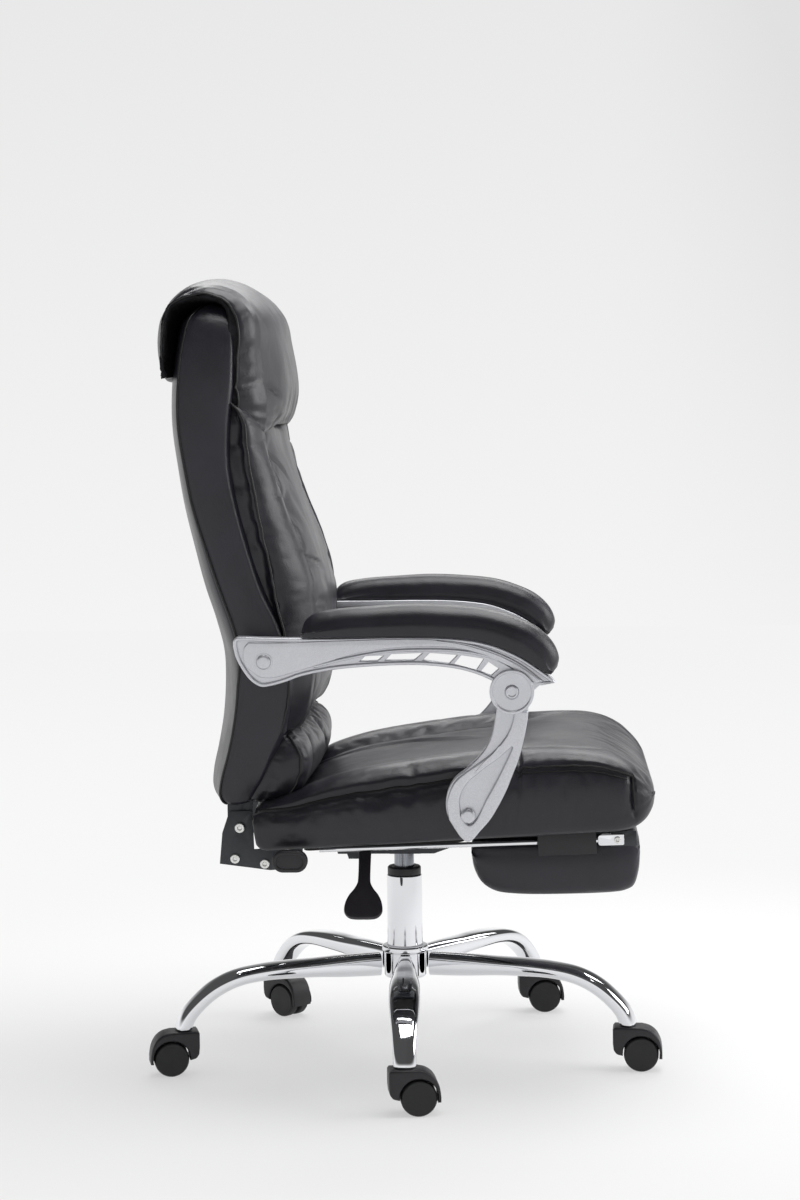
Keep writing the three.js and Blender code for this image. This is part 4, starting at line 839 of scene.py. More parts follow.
def fold_walls(grid, t, along, through, seed, depth, first=1):
    """Soft folds in both side walls of a form, from its row first up to its top row."""
    share = np.linspace(0, 1, grid.shape[2])
    for edge, sign in EDGES:
        folds = wrinkles(t[:, None] * along, share[None, :] * through, seed + edge)
        grid[:, edge, first:-1, 1] += sign * depth * folds[:, first:-1]


seat_tilt, seat_foot = math.radians(3), (0, 342)
print("the seat board lies", seat_foot[1], "mm up")

# %% [markdown]
# ## The seat cushion
# The seat is a thick foam block under a sewn cover. Its top is a sunken panel between two bolsters, and it
# ends in a rolled front behind a deep crease. At the rear the cover rolls far over the side before it meets
# the side panel in a deep seam, and in front the seam lies at the edge and turns down beside the roll.
# We loft it from a table, then press the seams into the grid and let soft wrinkles gather beside them.

# %% Seat profile
seat_rear, seat_length, seat_thick, seat_half = -188, 536, 115, 255
seat_shares = [
    (0, 0.26, 0, 0.4, 0.95), (0.003, 0.1, 0.002, 0.47, 0.97), (0.019, 0.01, 0.013, 0.53, 0.98),
    (0.07, 0, 0.061, 0.59, 0.99), (0.115, 0, 0.11, 0.65, 0.995), (0.152, 0, 0.152, 0.73, 1),
    (0.237, 0, 0.237, 0.83, 1), (0.348, 0, 0.348, 0.9, 1), (0.459, 0, 0.459, 0.95, 1),
    (0.561, 0, 0.561, 0.985, 1), (0.62, 0, 0.626, 0.992, 1), (0.66, 0, 0.663, 0.98, 1),
    (0.7, 0, 0.703, 0.975, 1), (0.78, 0, 0.782, 0.965, 1), (0.857, 0, 0.85, 0.935, 1),
    (0.906, 0, 0.9, 0.875, 0.995), (0.944, 0.03, 0.942, 0.785, 0.975), (0.974, 0.11, 0.973, 0.67, 0.935),
    (0.993, 0.23, 0.993, 0.545, 0.88), (1, 0.34, 1, 0.44, 0.8),
]
seat_rows = sized(seat_shares, (seat_rear, 0), (seat_length, seat_thick))
seat_share_rows = [row[2] for row in seat_shares]


def seat_share(t):
    """Share of the seat's length at a share of the way through its rows."""
    return np.interp(t, np.linspace(0, 1, len(seat_shares)), seat_share_rows)


def seat_place(share):
    """The reverse: share of the way through the rows at a share of the length."""
    return float(np.interp(share, seat_share_rows, np.linspace(0, 1, len(seat_shares))))


seat_steps = np.array([seat_place(share) for share in np.concatenate([
    np.linspace(0, 0.06, 12), np.linspace(0.06, 0.62, 66)[1:], np.linspace(0.62, 0.7, 20)[1:],
    np.linspace(0.7, 0.9, 40)[1:], np.linspace(0.9, 1, 40)[1:],
])])
seat_roll_drop = [(seat_place(share), drop) for share, drop in (
    (0, 5), (0.03, 8), (0.08, 15), (0.16, 23), (0.3, 29), (0.45, 30), (0.58, 28), (0.66, 21), (0.77, 19),
    (0.87, 18), (0.94, 17), (1, 14),
)]
print("steps along the seat", len(seat_steps))

# %% [markdown]
# The top of the seat is drawn by sums of ridges, ramps and wrinkles. The panel between the rolls is crowned,
# its seams are narrow ridges turned inwards, and the leather gathers at the crease behind the front roll.

# %% Seat top
panel_seam, crease_place = 0.635, 0.668


def seat_top(t, s):
    """Two rolls run along the sides, and the panel lies lower between them, behind a sharp seam."""
    x = seat_share(t)
    side = np.abs(s)
    along_panel = ramp(0.02, 0.12, x) * (1 - ramp(0.56, 0.76, x))
    roll_share = np.clip((0.83 - side) / 0.2, 0, 1)
    roll = 15 * (1 - np.sqrt(1 - 0.98 * roll_share**2)) + 1.5 * roll_share
    seam = ridge(side, panel_seam, 0.013) * 3.5
    crown = 7 * (1 - (side / 0.63) ** 2) * (side < 0.63)
    bow = s - (0.2 - 0.35 * ramp(0.3, 0.62, x))
    fold = ridge(bow, 0, 0.02) * 2.2 - ridge(bow, 0.06, 0.05) * 2.4
    fold = fold * ramp(0.06, 0.14, x) * (1 - ramp(0.5, 0.6, x))
    soft = wrinkles(x * 5, s * 7, 3) * 1.1 + wrinkles(x * 16, s * 12, 13) * 0.3
    gathers = wrinkles(x * 75 + side * 30, side * 6, 11) * (1.2 - 0.8 * (s > 0))
    gathers = gathers * ramp(0.8, 0.97, side) * ramp(0.12, 0.3, x)
    pulls = wrinkles(x * 46, s * 5, 5) * 1.0 * ridge(x, 0.665, 0.02) * ramp(0.7, 0.95, side)
    notch = ridge(x, crease_place, 0.006) * 5 * ramp(0.8, 0.95, side)
    front = wrinkles(x * 9, s * 5, 25) * 1.2 * ramp(0.6, 0.75, x)
    ends = ramp(0, 0.05, x) * (1 - ramp(0.9, 1, x))
    panel = (crown - roll - seam - fold) * along_panel
    return (panel + soft + pulls + front) * ends - notch + gathers * (1 - ramp(0.88, 0.97, x))


seat_grid, seat_t, seat_s = padded_form(
    seat_rows, seat_half, 52, along=seat_steps, across=90, through=15, drop=seat_roll_drop, cap=0.6,
    lower_edge=14, lower_drop=12, belly=4.5, swell=seat_top
)
seat_x = seat_share(seat_t)
print("seat grid", seat_grid.shape)
# %% [markdown]
# The side seam is pressed into the top row of the side walls, deepest where the cover rolls over the side.
# At the front corner the seam turns down, so a whole column of points goes in, and the leather puckers
# beside it. Then the cover settles, with its seams held.

# %% Seat seams
roll_depth = 3.6 + 6.5 * ramp(0.01, 0.1, seat_x) * (1 - ramp(0.6, 0.68, seat_x))
roll_depth = roll_depth * (1 - ramp(0.935, 0.95, seat_x))
corner_place = 0.944
corner_row = nearest(seat_x, corner_place)
seat_along = seat_x[:, None]
seat_up = np.linspace(0, 1, seat_grid.shape[2])[None, :]
corner_seam = 4.5 * ridge(seat_along, corner_place, 0.006) * ramp(-0.1, 0.2, seat_up)
pucker = 2.0 * wrinkles(seat_up * 24 + seat_along * 60, seat_along * 90, 7)
pucker = pucker * ridge(seat_along, corner_place + 0.008, 0.02) * ramp(0.05, 0.4, seat_up)
side_folds = 1.1 * wrinkles(seat_along * 11, seat_up * 3.2, 21) * ramp(0.02, 0.08, seat_along)
for edge, sign in EDGES:
    seat_grid[:, edge, -1, 1] -= sign * roll_depth
    seat_grid[:, edge, -2, 1] -= sign * roll_depth * 0.45
    seat_grid[:, edge, :, 1] += sign * (pucker - corner_seam)
    seat_grid[:, edge, 1:-2, 1] += sign * side_folds[:, 1:-2]
laid_seat = lay(seat_grid, seat_tilt, seat_foot)
seat_cover = skin("seat_cushion_cover", laid_seat, panel_leather)
seat_held = seams_held(seat_grid)
panel_rows = (seat_x > 0.04) & (seat_x < 0.66)
for place in (-panel_seam, panel_seam):
    seat_held[panel_rows, nearest(seat_s, place), -1] = 1
for edge, _ in EDGES:
    seat_held[corner_row, edge, :] = 1
settled_cover(seat_cover, seat_held, inset=3, cap=5, slack=0.01)
settle(seat_cover, "seat", "leather", "seat_cushion", fill=0.85)

# %% [markdown]
# In front the side seam is top-stitched: a welt lies in the seam, and a second line of thread runs a little below it.
# Both turn down beside the front roll, and both wear the near-black finish that paints the seam's shade.

# %% Seat welts
seat_cords = []
crease_row = nearest(seat_x, crease_place)
for edge, sign in EDGES:
    along_side = laid_seat[4:corner_row + 1, edge, -1] + (0, sign * 0.4, 0)
    turn_down = laid_seat[corner_row, edge, ::-1][1:12] + (0, sign * 0.3, 0)
    seat_cords.append(piping("seat_welt", to_scene(np.vstack([along_side, turn_down])), 1.3, seam_shade_black))
    thread = laid_seat[crease_row:corner_row - 4, edge, -1] - (0, 0, 6.5)
    thread[:, 1] += sign * (roll_depth[crease_row:corner_row - 4] * 0.6 + 0.4)
    seat_cords.append(piping("seat_thread", to_scene(thread), 0.7, seam_shade_black))
settle(joined("seat_seam_welts", seat_cords), "seat", "leather")

# %% [markdown]
# ## The backrest
# The back is a moulded shell under thin padding: slim at the foot, hollow at the waist, and leaning back
# at the head. Its rear bulges out, and a piped seam runs up each side, front and rear.

# %% Backrest body
recline_pivot = (-211, 358)
back_start = (recline_pivot[0] - 72, recline_pivot[1] + 32)
back_size = (152, 670)


def back_rows(table):
    """Rows whose two skins lie level with each other: height, rear, front and width."""
    return sized([(rear, up, front, up, wide) for up, rear, front, wide in table], back_start, back_size)


back_table = [
    (0, 0.4, 0.52, 0.84), (0.006, 0.342, 0.586, 0.87), (0.021, 0.316, 0.638, 0.9), (0.052, 0.336, 0.717, 0.93),
    (0.104, 0.401, 0.816, 0.955), (0.164, 0.461, 0.934, 0.975), (0.236, 0.493, 1, 0.99), (0.299, 0.487, 0.967, 1),
    (0.364, 0.414, 0.888, 1), (0.433, 0.309, 0.75, 1), (0.507, 0.217, 0.645, 1), (0.593, 0.118, 0.546, 0.995),
    (0.672, 0.053, 0.48, 0.985), (0.761, 0, 0.48, 0.97), (0.851, 0.007, 0.52, 0.95), (0.925, 0.046, 0.526, 0.92),
    (0.964, 0.086, 0.5, 0.88), (0.988, 0.158, 0.434, 0.82), (1, 0.25, 0.35, 0.74),
]


def back_bulge(t, s):
    waist = np.sin(math.pi * np.minimum(1, t / 0.75)) ** 2
    ends = ramp(-0.08, 0.1, t) * (1 - ramp(0.88, 1.03, t))
    return (25 + 10 * waist) * (1 - np.abs(s) ** 2.2) * ends


rear_turn = [(0, 1), (0.28, 0.5), (0.34, 2), (0.42, 9), (0.5, 9), (0.62, 4), (0.75, 3), (1, 4)]
back_grid, back_t, _ = padded_form(
    back_rows(back_table), 240, 30, along=130, across=44, through=15, drop=9, lower_drop=rear_turn,
    sag=back_bulge, belly=3
)
rear_seam = ramp(0, 0.03, back_t) * 1.6
for edge, sign in EDGES:
    back_grid[:, edge, 0, 1] -= sign * rear_seam
    back_grid[:, edge, 1, 1] -= sign * rear_seam * 0.5
fold_walls(back_grid, back_t, 9, 3.5, 31, 0.9, first=2)
back_shell = skin("back_shell_cover", back_grid, black_leather)
settle(back_shell, "backrest", "leather", "back_body", fill=0.95)


def edge_piping(name, grid, row, radius, ends=1, forward=0.0, outward=0.0):
    """Cords along both side edges of a form, on its lowest row, 0, or its top row, -1."""
    return [
        piping(name, to_scene(grid[ends:-ends, edge, row] + (forward, sign * outward, 0)), radius)
        for edge, sign in EDGES
    ]


back_cords = edge_piping("back_welt", back_grid, 0, 1.7, 4, -0.6, 1.2)
settle(joined("back_seam_piping", back_cords), "backrest", "leather")

# %% [markdown]
# ## The back pad
# On the front of the shell lies a thick pad: a softly crowned middle panel between two upright rolls. Its
# outer edge is piped. The seams beside the rolls are pulled deep, and short creases run out from them.

# %% Back pad face
pad_table = [
    (0.14, 0.822, 0.901, 0.95), (0.152, 0.809, 1.02, 0.97), (0.176, 0.822, 1.092, 0.985), (0.216, 0.862, 1.138, 1),
    (0.261, 0.862, 1.164, 1), (0.328, 0.822, 1.178, 1), (0.388, 0.757, 1.178, 1), (0.448, 0.651, 1.145, 1),
    (0.515, 0.546, 1.055, 1), (0.582, 0.467, 0.945, 0.995), (0.657, 0.401, 0.835, 0.985), (0.716, 0.375, 0.76, 0.975),
    (0.761, 0.375, 0.724, 0.965), (0.791, 0.388, 0.638, 0.955), (0.809, 0.401, 0.533, 0.94),
]
pad_seam = 0.72
pad_pleats = (
    (0.545, 0.06, 0.6, 4.5), (0.43, 0.02, 0.3, 4), (0.775, 0.2, 0.45, 5), (0.3, -0.05, 0.4, 3.5),
    (0.66, -0.1, 0.25, 3),
)
pad_hollows = ((0.515, 0.06, 0.6, 3), (0.4, 0.02, 0.5, 2.5), (0.735, 0.2, 0.5, 3), (0.27, -0.05, 0.5, 2.5))


def creases(t, inner, marks, width, start, fade):
    """Creases that run inwards from the seam. A mark is a place, a slant, a reach and a depth."""
    return sum(
        ridge(t - place + inner * slant, 0, width) * ramp(*start, inner) * (1 - ramp(reach * fade, reach, inner)) * deep
        for place, slant, reach, deep in marks
    )


def pad_face(t, s):
    side = np.abs(s)
    along = np.sin(math.pi * t)
    inner = pad_seam - side
    crown = 5 * ramp(0, 0.35, inner) * along
    seam = (ridge(inner, 0, 0.011) * 9 + ridge(inner, 0, 0.035) * 4) * along**0.3
    roll = ridge(side, 0.84, 0.1) * 3 * along**0.5
    puckers = wrinkles(t * 48 + side * 20, s * 7, 2) * ridge(inner, 0, 0.06) * 1.6
    pleats = creases(t, inner, pad_pleats, 0.007, (-0.005, 0.03), 0.5)
    hollows = creases(t, inner, pad_hollows, 0.03, (0, 0.1), 0.6)
    folds = wrinkles(t * 9, s * 6, 8) * 1.5 + wrinkles(t * 24, s * 5, 15) * 0.6 * ramp(0.7, 0.85, side)
    edge_pucker = wrinkles(t * 80, s * 4, 19) * 0.9 * ramp(0.9, 1, side)
    return roll + crown - seam - pleats - hollows + (puckers + folds + edge_pucker) * along**0.5


print("creases on the pad", len(pad_pleats), "sharp and", len(pad_hollows), "soft")

# %% [markdown]
# The pad is a little narrower at its root than at its face, so that a dark gap shows beside the shell. The
# two long seams are held while the cover settles, and a thin near-black cord, painted seam shade, is then laid into
# them.

# %% Back pad
def sink(t, s):
    return t * 0 + 12


pad_drop = [(0, 40), (0.2, 46), (0.5, 50), (0.6, 42), (0.68, 32), (0.78, 23), (0.9, 19), (1, 16)]
pad_grid, pad_t, pad_s = padded_form(
    back_rows(pad_table), 238, 68, along=160, across=80, through=11, drop=pad_drop, cap=0.72, lower_edge=12,
    swell=pad_face, sag=sink, belly=1
)
gap_depth = 3 + 8 * ramp(0.1, 0.3, pad_t)
recess = 1 - ramp(0.62, 0.98, np.linspace(0, 1, pad_grid.shape[2]))
for edge, sign in EDGES:
    pad_grid[:, edge, :-1, 1] -= sign * gap_depth[:, None] * recess[None, :-1]
    pad_grid[:, edge, -1, 1] -= sign * 1.0
fold_walls(pad_grid, pad_t, 24, 4, 41, 0.8)
back_cushion = skin("back_pad_cover", pad_grid, panel_leather)
pad_held = seams_held(pad_grid)
pad_seams = [nearest(pad_s, place) for place in (-pad_seam, pad_seam)]
for seam in pad_seams:
    pad_held[5:-4, seam, -1] = 1
settled_cover(back_cushion, pad_held, inset=3, cap=5.5, slack=0.014)
settle(back_cushion, "backrest", "leather", "back_pad", fill=0.8)
pad_cords = edge_piping("pad_welt", pad_grid, -1, 1.5, 3, 0.8, 1.0)
for seam in pad_seams:
    pad_cords.append(piping("pad_seam", to_scene(pad_grid[8:-6, seam, -1] + (0.2, 0, 0)), 1.3, seam_shade_black))
settle(joined("back_pad_piping", pad_cords), "backrest", "leather")

# %% [markdown]
# ## The lumbar roll
# A soft roll fills the hollow between the pad and the seat. It is one full, crowned cushion.

# %% Lumbar roll
lumbar_table = [
    (0.006, 0.638, 0.8, 0.93), (0.012, 0.612, 0.93, 0.96), (0.03, 0.638, 1.035, 0.985), (0.057, 0.704, 1.092, 1),
    (0.09, 0.757, 1.112, 1), (0.116, 0.809, 1.085, 0.99), (0.134, 0.862, 1.02, 0.975), (0.142, 0.875, 0.935, 0.96),
]


def lumbar_face(t, s):
    side = np.abs(s)
    along = np.sin(math.pi * t)
    soft = wrinkles(t * 4, s * 11, 4) * 1.3 * along
    gather = wrinkles(t * 30, s * 6, 27) * 1.2 * ramp(0.93, 1, side)
    folds = ridge(s + 0.05 * np.sin(t * 5), -0.62, 0.05) * 2.2 + ridge(s - 0.04 * np.sin(t * 6), 0.2, 0.07) * 1.8
    return 6 * (1 - s * s) * along + soft + gather * along**0.5 - folds * along


lumbar_grid, lumbar_t, _ = padded_form(
    back_rows(lumbar_table), 220, 16, along=60, across=70, through=11, drop=12, swell=lumbar_face, sag=sink, belly=5
)
fold_walls(lumbar_grid, lumbar_t, 7, 4, 51, 1.4)
lumbar_roll = skin("lumbar_roll_cover", lumbar_grid, panel_leather)
settled_cover(lumbar_roll, seams_held(lumbar_grid), inset=3, cap=5, slack=0.01)
settle(lumbar_roll, "backrest", "leather", "lumbar_roll", fill=0.8)
settle(joined("lumbar_piping", edge_piping("lumbar_welt", lumbar_grid, -1, 1.3)), "backrest", "leather")

# %% [markdown]
# ## The headrest pillow
# The pillow hangs over the top of the back like a saddlebag: a thin flap behind, a band over the top, and
# a thick fold in front. Its ends stay open, so the lining shows in ruffles round the opening.

# %% Headrest pillow face
pillow_table = [
    (-0.15, 0.85, -0.2, 0.845, 0.97), (-0.14, 0.865, -0.25, 0.862, 0.98), (-0.13, 0.9, -0.272, 0.905, 1),
    (-0.12, 0.94, -0.265, 0.955, 1), (-0.1, 0.973, -0.225, 0.997, 0.99), (-0.05, 0.996, -0.115, 1.034, 0.97),
    (0.072, 1.009, 0.046, 1.054, 0.96), (0.23, 1.012, 0.263, 1.058, 0.96), (0.375, 1.006, 0.467, 1.046, 0.96),
    (0.47, 0.985, 0.651, 1.022, 0.97), (0.51, 0.949, 0.789, 0.985, 0.99), (0.53, 0.901, 0.842, 0.925, 1),
    (0.55, 0.851, 0.89, 0.858, 1), (0.59, 0.813, 0.908, 0.806, 0.995), (0.65, 0.779, 0.885, 0.773, 0.985),
    (0.704, 0.761, 0.81, 0.757, 0.97),
]


def pillow_face(t, s):
    side = np.abs(s)
    fall = np.interp(t, [0, 0.25, 0.4, 0.55, 0.7, 1], [18, 24, 23, 13, 7, 6])
    crown = -(fall + 8 * (s > 0) * ramp(0.3, 0.6, t)) * side**2.2
    front = ramp(0.5, 0.7, t)
    gusset = 6.5 * ramp(0.9, 1, side) ** 1.2 * ramp(0.45, 0.62, t)
    seam = ridge(side, 0.9, 0.01) * 2.6 * ramp(0.2, 0.4, t)
    gather = wrinkles(t * 70, s * 9, 6) * ridge(side, 0.97, 0.04) * 1.0
    level_crease = ridge(t, 0.78, 0.006) * ramp(0.9, 0.94, side) * 3
    slant_crease = ridge(t + 0.3 * (side - 0.72), 0.82, 0.008) * ridge(side, 0.74, 0.1) * 4
    fan = sum(ridge(t + slant * side, place, 0.012) * high for slant, place, high in ((0.2, 1.07, 3), (0.12, 0.96, 2.5)))
    fan = fan * ramp(0.7, 0.8, t) * ramp(0.3, 0.8, side)
    folds = wrinkles(t * 12, s * 5, 9) * 1.2 * front + wrinkles(t * 8, s * 4, 23) * 0.5
    return crown - gusset - seam - level_crease - slant_crease - fan + gather + folds


def pillow_lining(t, s):
    ruffle = wrinkles(t * 95, s * 4, 12) * 2.0 * ramp(0.8, 1, np.abs(s))
    return 12 - 8 * ramp(0.5, 1, np.abs(s)) - np.abs(ruffle) * 0.8


print("rows along the pillow", len(pillow_table))

# %% [markdown]
# The lower corners of the front fold hang down and back a little, as a full pillow's do. The faces inside
# the flap and on its open ends wear the lining instead of leather.

# %% Headrest pillow
pillow_drop = [(0, 1), (0.25, 2), (0.4, 6), (0.55, 10), (0.7, 18), (0.85, 22), (1, 20)]
lining_drop = [(0, 2), (0.35, 3), (0.6, 5), (1, 5)]
pillow_grid, pillow_t, pillow_s = padded_form(
    sized(pillow_table, back_start, back_size), 220, 30, along=170, across=64, through=7, drop=pillow_drop, cap=0.6,
    lower_edge=9, lower_drop=lining_drop, swell=pillow_face, sag=pillow_lining, belly=1
)
droop = ramp(0.55, 0.8, pillow_t)[:, None, None] * ramp(0.45, 1, np.abs(pillow_s))[None, :, None]
pillow_grid[..., 2] -= 24 * droop
pillow_grid[..., 0] -= 20 * droop
ruffle = wrinkles(pillow_t * 120, 1.0, 14)[:, None] * np.sin(math.pi * np.linspace(0, 1, pillow_grid.shape[2]))[None, :]
for edge, sign in EDGES:
    pillow_grid[:, edge, :, 1] += sign * ruffle * 1.6
pillow = skin("headrest_pillow_cover", pillow_grid, panel_leather)
pillow.data.materials.append(lining_cloth)
long_steps, wide_steps, deep_steps = (steps - 1 for steps in pillow_grid.shape[:3])
inside, ends = long_steps * wide_steps, 2 * long_steps * deep_steps
faces = pillow.data.polygons
for face in [*faces[:inside], *faces[2 * inside:2 * inside + ends]]:
    face.material_index = 1
settled_cover(pillow, seams_held(pillow_grid), inset=3, cap=5, slack=0.014)
settle(pillow, "backrest", "leather", "headrest_pillow", fill=0.7)
settle(joined("headrest_piping", edge_piping("pillow_welt", pillow_grid, -1, 1.5)), "backrest", "leather")

# %% [markdown]
# ## Arm pads
# Each arm carries a long, narrow, padded top, rounded over its edges, blunt at the rear and drawn down to
# a tip in front. Its lower edge runs just above the metal. One form serves both arms, moved to each side.

# %% Arm pads
arm_bolt, arm_size = (-166, 591), (388, 74)
arm_inner, arm_outer = 270.4, 292.4
arm_pad_table = [
    (0.129, 0.46, 0.13, 0.55, 0.9), (0.14, 0.432, 0.142, 0.72, 0.96), (0.18, 0.43, 0.172, 0.835, 0.985),
    (0.258, 0.43, 0.247, 0.92, 1), (0.376, 0.432, 0.376, 0.973, 1), (0.505, 0.432, 0.505, 1, 1),
    (0.626, 0.405, 0.634, 0.973, 1), (0.727, 0.338, 0.753, 0.905, 1), (0.794, 0.23, 0.835, 0.784, 1),
    (0.861, 0.068, 0.918, 0.581, 0.97), (0.918, -0.122, 0.972, 0.297, 0.9), (0.946, -0.225, 0.99, 0.041, 0.8),
    (0.962, -0.25, 0.985, -0.12, 0.65),
]


def arm_pad_top(t, s):
    """The cover puckers a little along its edge and at the tip."""
    return wrinkles(t * 60, s * 5, 17) * 0.5 * ramp(0.5, 1, np.abs(s)) + wrinkles(t * 14, s * 3, 18) * 0.5


arm_rows = sized(arm_pad_table, arm_bolt, arm_size)
arm_form, _, _ = padded_form(
    arm_rows, 28, 25, along=90, across=8, through=8, drop=21, cap=0.7, lower_edge=6, belly=1.6, swell=arm_pad_top
)
pad_out = (arm_inner + arm_outer) / 2 + 6
for name, side in SIDES:
    arm_cover = skin(f"arm_pad_cover_{name}", arm_form + (0, side * pad_out, 0), panel_leather)
    settle(arm_cover, f"arm_{name}", "leather", f"arm_pad_{name}", fill=0.95)

# %% [markdown]
# ## The footrest pad
# The footrest is a padded board that hangs upside down under the seat until it is pulled out and turned.
# Its cover is drawn tight over firm foam, so it is the plainest of the cushions: a table, a rounded edge and
# no wrinkles. It is drawn level, and then laid on the slope of the rails at their hinge.

# %% Footrest pad
foot_hinge, rail_tilt = (295.5, 339.16), math.radians(1.75)
foot_table = [
    (0, 0.66, 0, 0.8, 0.93), (0.013, 0.447, 0.013, 0.9, 0.95), (0.053, 0.235, 0.048, 0.938, 0.97),
    (0.127, 0.094, 0.11, 0.938, 0.985), (0.25, 0.035, 0.25, 0.938, 1), (0.627, 0, 0.627, 0.938, 1),
    (0.84, 0.01, 0.84, 0.938, 1), (0.9, 0.03, 0.885, 0.96, 0.99), (0.952, 0.094, 0.939, 0.99, 0.975),
    (0.987, 0.329, 0.974, 0.98, 0.95), (1, 0.6, 0.996, 0.86, 0.93),
]
foot_rows = sized(foot_table, (-197, -78), (228, 85))
foot_grid, _, _ = padded_form(foot_rows, 176, 18, along=70, across=40, through=9, belly=2.5)
foot_cover = skin("footrest_pad_cover", lay(foot_grid, rail_tilt, foot_hinge), black_leather)
settle(foot_cover, "footrest", "leather", "footrest_pad", fill=0.9)

# %% [markdown]
# ## Turned parts
# The hub, tube, collar, wheels, discs and caps are all round. Each is spun from a profile: one point is
# extruded along the profile, and the line is then spun about an axis, as clay is on a wheel.

# %% A turned part
def turned(name, profile, finish, centre=(0, 0, 0), axis="Z", steps=64):
    """Spins (radius, height) points, in millimetres, about an axis through centre, in chair millimetres."""
    bpy.ops.object.select_all(action="DESELECT")
    bpy.ops.mesh.primitive_plane_add(size=0.001, location=(0, 0, 0))
    piece = bpy.context.active_object
    piece.name = name
    bpy.ops.object.mode_set(mode="EDIT")
    bpy.ops.mesh.select_all(action="SELECT")
    bpy.ops.mesh.merge(type="CENTER")
    first = profile[0]
    bpy.ops.transform.translate(value=(first[0] * MM, 0, first[1] * MM))
    for before, after in zip(profile, profile[1:]):
        step = ((after[0] - before[0]) * MM, 0, (after[1] - before[1]) * MM)
        bpy.ops.mesh.extrude_region_move(TRANSFORM_OT_translate={"value": step})
    bpy.ops.mesh.select_all(action="SELECT")
    bpy.ops.mesh.spin(steps=steps, angle=2 * math.pi, center=(0, 0, 0), axis=(0, 0, 1))
    bpy.ops.mesh.select_all(action="SELECT")
    bpy.ops.mesh.remove_doubles(threshold=0.000002)
    bpy.ops.mesh.normals_make_consistent(inside=False)
    bpy.ops.object.mode_set(mode="OBJECT")
    turns = {"Z": (0, 0, 0), "-Y": (math.pi / 2, 0, 0), "Y": (-math.pi / 2, 0, 0), "X": (0, math.pi / 2, 0)}
    piece.rotation_euler = turns[axis]
    piece.location = spot(*centre)
    bpy.ops.object.transform_apply(location=True, rotation=True, scale=True)
    piece.data.materials.append(finish)
    bpy.ops.object.shade_smooth_by_angle(angle=math.radians(32))
    return piece


def rounded(profile, radius, steps=4):
    """Rounds the inner corners of a profile of points."""
    corners = [Vector(point) for point in profile]
    result = [corners[0]]
    for before, here, after in zip(corners, corners[1:], corners[2:]):
        reach = min(radius, (before - here).length / 2.01, (after - here).length / 2.01)
        start = here + (before - here).normalized() * reach
        end = here + (after - here).normalized() * reach
        for step in range(steps + 1):
            share = step / steps
            result.append(start * (1 - share) ** 2 + here * 2 * share * (1 - share) + end * share**2)
    return [tuple(point) for point in result + [corners[-1]]]


def ring(profile, radius):
    """A rounded profile that closes on its first point, as a hollow part's does."""
    return rounded(profile, radius) + [profile[0]]


def turned_out(name, profile, finish, centre, side, steps):
    """A part turned about a line across the chair. Its heights count outwards from the chair's middle."""
    return turned(name, profile, finish, (centre[0], 0, centre[1]), "Y" if side > 0 else "-Y", steps)


print("rounding a corner gives", len(rounded([(0, 0), (1, 0), (1, 1)], 0.3)), "points")

# %% [markdown]
# ## The gas column
# A chromed outer tube stands in the hub of the base. A black collar closes its top, and a slimmer
# polished piston comes out of it and carries the seat.

# %% Hub, tube, collar and piston
hub_low, hub_high, hub_bore = 113, 158, 25.3
hub_profile = ring([
    (hub_bore, hub_low + 2), (28, hub_low), (30, hub_low + 3), (30, hub_high - 9), (33, hub_high - 7.5),
    (33, hub_high - 1.2), (31.6, hub_high), (hub_bore, hub_high),
], 1.2)
tube_profile = ring([(22, 113), (25, 113), (25, 258), (24.2, 259), (22, 259)], 0.7)
collar_profile = ring([(14.5, 250), (21.7, 250), (21.7, 259.3), (23.6, 259.3), (23.6, 269), (22, 271), (14.5, 271)], 0.8)
piston_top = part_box("gas_piston")[1].z / MM
piston_profile = [(0, 129), (13, 129), (14, 130), (14, piston_top), (0, piston_top)]
settle(turned("base_hub_shell", hub_profile, chrome), "base", "chrome", "base_hub")
settle(turned("column_tube_shell", tube_profile, chrome, steps=96), "base", "chrome", "column_tube")
settle(turned("column_collar_ring", collar_profile, nylon), "base", "plastic", "column_collar")
settle(turned("gas_piston_rod", piston_profile, steel), "lift_column", "chrome", "gas_piston")

# %% [markdown]
# ## The star base
# The five legs are pressed from sheet steel and chromed. Each leaves the hub level, widens, and then
# bends down in a swan neck to its caster. We start from a square frame, bevel its corners, and extrude it
# from station to station, turning and scaling it each time. A subdivision rounds the result.

# %% One leg
stem_circle, caster_high, leg_rise, hub_radius = 325, 62, 74, 30
leg_table = [
    (0.06, 0.955, 0.54, 0.4), (0.16, 0.96, 0.54, 0.42), (0.3, 0.973, 0.5, 0.52), (0.42, 0.985, 0.42, 0.62),
    (0.54, 0.99, 0.39, 0.7), (0.655, 0.973, 0.35, 0.72), (0.769, 0.895, 0.35, 0.7), (0.862, 0.716, 0.35, 0.64),
    (0.932, 0.473, 0.35, 0.57), (0.978, 0.243, 0.36, 0.53), (1, 0, 0.37, 0.51),
]
stations = np.linspace(0.06, 1, 26)
leg_line = smooth_line([(r * stem_circle, caster_high + z * leg_rise) for r, z, _, _ in leg_table], stations)
leg_places = [Vector((x * MM, 0, z * MM)) for x, z in leg_line]
leg_size = smooth_line(
    [(thick * hub_radius, wide * hub_radius, k) for k, (_, _, thick, wide) in enumerate(leg_table)], stations
)
slopes = np.arctan2(*np.gradient(leg_line, axis=0).T[::-1])
slopes[-1] = -math.pi / 2
print("the leg is drawn in", len(stations), "stations")

# %% [markdown]
# The frame of a leg starts as a square with bevelled corners. At each station it is extruded by one step,
# turned back level, scaled, and turned to the new slope, so that it always stands square to its line.

